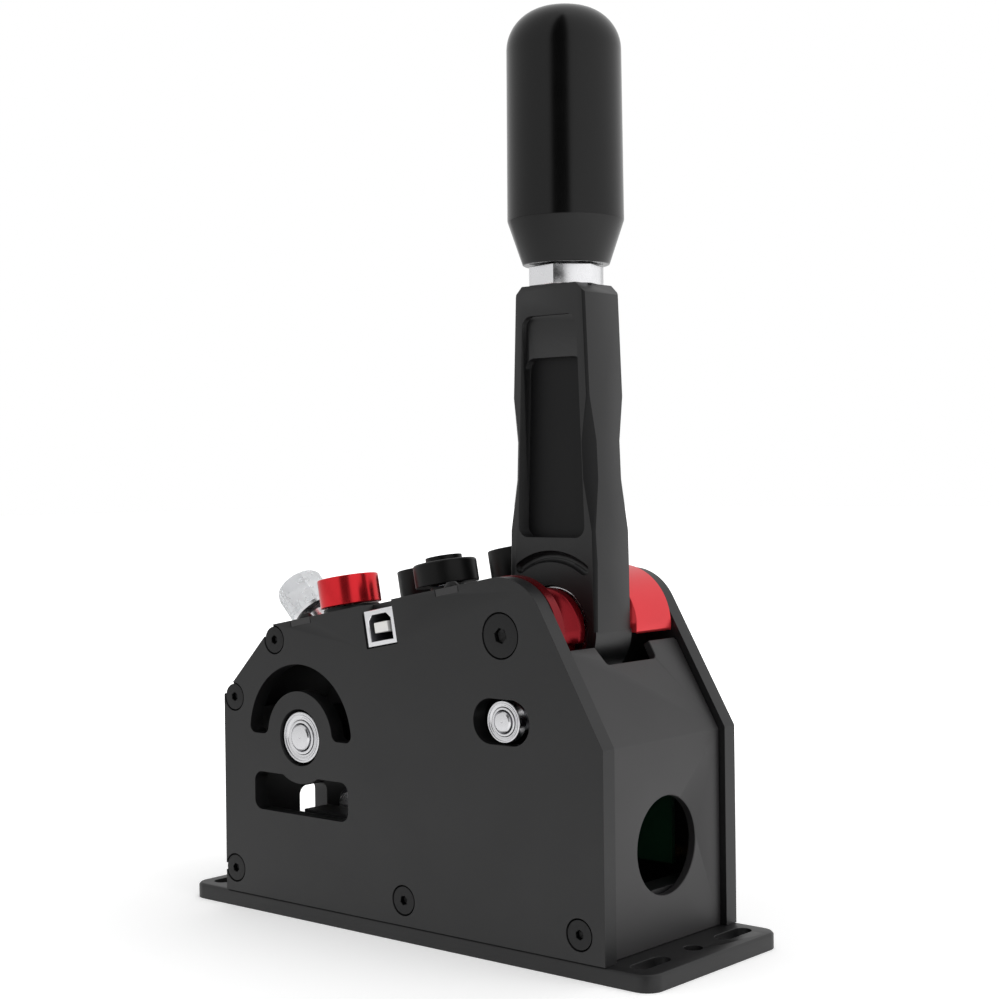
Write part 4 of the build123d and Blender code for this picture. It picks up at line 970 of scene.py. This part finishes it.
class SHIFTER_OT_spacers(Step, bpy.types.Operator):
    """Makes the red spool and the red drum beside the lever"""

    bl_idname = "shifter.spacers"
    bl_label = "Red spacers"

    def make(self):
        # The spool's darker red is painted shade.
        self.bring_in(dressed("port_spacer", "turned_red_spool"))
        self.mill(dressed("far_spacer", "turned_red_drum"))

    def bring_in(self, spool):
        """Turns the flange down to its rim, with the neck left as it is."""
        reach = [Vector((v.co.x - pivot.x, 0, v.co.z - pivot.z)) for v in spool.data.vertices]
        full = max(across.length for across in reach)
        neck = 0.8 * full
        share = (sizes().spool_rim - neck) / (full - neck)
        for vertex, across in zip(spool.data.vertices, reach):
            if across.length > neck:
                new_length = neck + (across.length - neck) * share
                vertex.co += across.normalized() * (new_length - across.length)

    def mill(self, drum):
        """Takes the drum's flat up, leaves a gap to the far plate and paints the milled step black as painted
        shade.
        """
        # Painted shade: the face below the flat gets a black finish in place of the drum's red.
        drum.data.materials.append(finish_of("moulded_black"))
        far = max(v.co.y for v in drum.data.vertices)
        edge = sizes().small_edge * EDGE_REACH
        flats = [f for f in drum.data.polygons if f.normal.z < -0.99 and f.center.x > pivot.x]
        flat = max(flats, key=lambda f: f.area).center.z
        for face in drum.data.polygons:
            if face.normal.x > 0.99 and face.center.z < flat:
                face.material_index = 1
        for vertex in drum.data.vertices:
            if abs(vertex.co.z - flat) < edge:
                vertex.co.z += sizes().drum_lift
            if vertex.co.y > far - edge:
                vertex.co.y -= sizes().drum_gap


class SHIFTER_OT_lever(Step, bpy.types.Operator):
    """Finishes the milled lever, with painted shade on its pocket floors and bevels"""

    bl_idname = "shifter.lever"
    bl_label = "Lever"

    def make(self):
        arm = dressed("lever_arm", "blasted_black_lever", sizes().lever_edge)
        # Painted shade: pocket floors and sloping faces take a less glossy copy of the lever's finish, which
        # darkens them.
        arm.data.materials.append(finish_of("blasted_black_pocket"))
        upper_floor_depth = 4 * MM
        deep = max(v.co.y for v in arm.data.vertices) - upper_floor_depth
        middle = max(v.co.z for v in arm.data.vertices) / 2
        for face in arm.data.polygons:
            sideways = abs(face.normal.y)
            floor = sideways > 0.9 and abs(face.center.y) < deep and face.center.z > middle
            bevel = 0.25 < sideways < 0.97 and abs(face.normal.z) < 0.4
            if floor or bevel:
                face.material_index = 1


class SHIFTER_OT_collar_nut(Step, bpy.types.Operator):
    """Makes the bright hexagonal nut under the grip, turned to where it was tightened"""

    bl_idname = "shifter.collar_nut"
    bl_label = "Collar nut"

    def make(self):
        nut = dressed("collar_nut", "plated_nut")
        turn = Matrix.Rotation(NUT_TURN, 4, "Z")
        nut.data.transform(Matrix.Translation(pivot) @ turn @ Matrix.Translation(-pivot))


class SHIFTER_OT_grip(Step, bpy.types.Operator):
    """Turns the grip with its cone, barrel and rounded crown"""

    bl_idname = "shifter.grip"
    bl_label = "Grip"

    def make(self):
        points = solids("grip")[0]
        foot, height, barrel_r = turned_size(points, Z_AXIS)
        heights, reach = along_and_out(points, foot, Z_AXIS)
        crown_height = 12.5 * MM
        crown_r = 3.5 * MM
        steps = 14
        cone_r = reach[heights < 0.1 * MM].max()
        shoulder = heights[reach > barrel_r - 0.02 * MM].mean()
        dome = height - crown_height
        dome_r = reach[abs(heights - dome) < 0.4 * MM].max()
        profile = [
            (FACE_MIDDLE, 0.0, 0.0),
            (cone_r, 0.0, 0.5 * MM),
            (barrel_r, shoulder, 1.6 * MM),
            (dome_r, dome, 1.0 * MM),
        ]
        for step in range(1, steps + 1):
            angle = pi / 2 * step / steps
            reach_there = crown_r + (dome_r - crown_r) * cos(angle)
            profile.append((reach_there, dome + (height - dome) * sin(angle), 0.0))
        profile.append((FACE_MIDDLE, height, 0.0))
        seat(turned("grip_turned", profile, foot, Z_AXIS), "grip", "turned_black_grip")


class SHIFTER_OT_knobs(Step, bpy.types.Operator):
    """Turns the force knob, the travel dial with its cap, the two trim knobs and their nuts"""

    bl_idname = "shifter.knobs"
    bl_label = "Knobs"

    def make(self):
        self.knob("force_knob", "turned_red_aluminium", sizes().knob_edge)
        self.knob("rear_trim_knob", "turned_black_knob", sizes().knob_edge)
        self.knob("front_trim_knob", "turned_black_knob", sizes().knob_edge)
        self.knob("travel_dial", "turned_black_knob", sizes().dial_edge)
        self.knob("travel_dial_cap", "turned_black_knob", sizes().cap_edge)
        shafts = ("travel_dial_shaft", "rear_trim_shaft", "front_trim_shaft", "force_screw")
        dress_all(shafts, "ground_steel")
        dressed("dial_nuts", "black_oxide_steel")
        self.widen(dressed("force_bush", "black_oxide_steel"))
        dressed("preload_nut", "turned_brass")
        dressed("dial_sensors", "moulded_blue")

    def widen(self, bush):
        """Widens the collar under the force knob, which stands on the cover: partly the real collar, partly
        painted shade, as its black fills the gap under the knob.
        """
        foot, _, radius = turned_size(solids("force_bush")[0], cover_normal)
        for vertex in bush.data.vertices:
            along = (vertex.co - foot).dot(cover_normal)
            across = vertex.co - foot - cover_normal * along
            if across.length > radius * 0.85:
                vertex.co += across * (sizes().shade_filling_collar / radius - 1)

    def knob(self, node, finish, edge):
        """Side, rounded top edge and a face turned a little hollow."""
        foot, height, radius = turned_size(solids(node)[0], cover_normal)
        hollow = 0.15 * MM
        slope = 0.3 * MM
        face_r = radius - max(edge, 0.6 * MM) - slope
        profile = [
            (FACE_MIDDLE, 0.0, 0.0),
            (radius, 0.0, 0.3 * MM),
            (radius, height, edge),
            (face_r, height, 0.1 * MM),
            (face_r - slope, height - hollow, 0.2 * MM),
            (FACE_MIDDLE, height - hollow, 0.0),
        ]
        seat(turned(f"{node}_turned", profile, foot, cover_normal), node, finish)


class SHIFTER_OT_index(Step, bpy.types.Operator):
    """Makes the clear index knob, its bright rim and pin, and the bush"""

    bl_idname = "shifter.index"
    bl_label = "Index knob"

    def make(self):
        dressed("index_knob", "cast_clear_knob", sizes().plate_edge, segments=3)
        dressed("index_pin", "plated_nut")
        dressed("index_bush", "blasted_black_aluminium")


class SHIFTER_OT_data_socket(Step, bpy.types.Operator):
    """Finishes the data socket's shell, with painted shade on its inner walls, and its tongue"""

    bl_idname = "shifter.data_socket"
    bl_label = "Data socket"

    def make(self):
        shell = dressed("socket_shell", "plated_shell")
        # Painted shade: faces behind the socket's front take a darker copy of the plating.
        shell.data.materials.append(finish_of("plated_shell_inside"))
        front = min(v.co.y for v in shell.data.vertices)
        for face in shell.data.polygons:
            if face.center.y > front + sizes().small_edge * 2:
                face.material_index = 1
        dressed("socket_tongue", "moulded_white")


class SHIFTER_OT_electronics(Step, bpy.types.Operator):
    """Finishes the circuit boards, their pillars and chips, and the magnet"""

    bl_idname = "shifter.electronics"
    bl_label = "Electronics"

    def make(self):
        dress_all(("port_board", "sensor_board", "control_board"), "green_solder_mask", 0.0)
        dressed("board_pillars", "turned_brass")
        dressed("board_chips", "moulded_black")
        dressed("magnet_ring", "nickel_magnet")


class SHIFTER_OT_linkage(Step, bpy.types.Operator):
    """Finishes the rocker, the links and the springs"""

    bl_idname = "shifter.linkage"
    bl_label = "Linkage"

    def make(self):
        dressed("rocker", "blasted_black_aluminium")
        dressed("link_plates", "blackened_link_steel")
        for node, held_at in (("upper_spring", 1), ("lower_spring", 0)):
            ends = [Vector(corner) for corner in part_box(node)]
            middle = (ends[0] + ends[1]) / 2
            held = Vector((middle.x, middle.y, ends[held_at].z))
            pushed = Vector((middle.x, middle.y, ends[1 - held_at].z))
            dressed(node, "spring_wire", 0.0, bend=("housing", "rocker", held, pushed))


# The operators, in the order in which they stand above.
STEPS = tuple(Step.__subclasses__())


class SHIFTER_PT_panel(bpy.types.Panel):
    """Lists the steps that dress the shifter"""

    bl_idname = "SHIFTER_PT_panel"
    bl_label = "Shifter"
    bl_space_type = "VIEW_3D"
    bl_region_type = "UI"
    bl_category = "Shifter"

    def draw(self, context):
        for step in STEPS:
            self.layout.operator(step.bl_idname)
        for group in (context.scene.shifter_colours, context.scene.shifter_sizes):
            column = self.layout.column()
            for name in group.__annotations__:
                column.prop(group, name)


CLASSES = (ShifterColours, ShifterSizes) + STEPS + (SHIFTER_PT_panel,)


def register():
    for made in CLASSES:
        bpy.utils.register_class(made)
    bpy.types.Scene.shifter_colours = PointerProperty(type=ShifterColours)
    bpy.types.Scene.shifter_sizes = PointerProperty(type=ShifterSizes)


def unregister():
    del bpy.types.Scene.shifter_sizes
    del bpy.types.Scene.shifter_colours
    for made in reversed(CLASSES):
        bpy.utils.unregister_class(made)


def main():
    register()
    bpy.context.scene.view_settings.view_transform = "Standard"
    for step in STEPS:
        group, name = step.bl_idname.split(".")
        getattr(getattr(bpy.ops, group), name)()


if __name__ == "__main__":
    main()
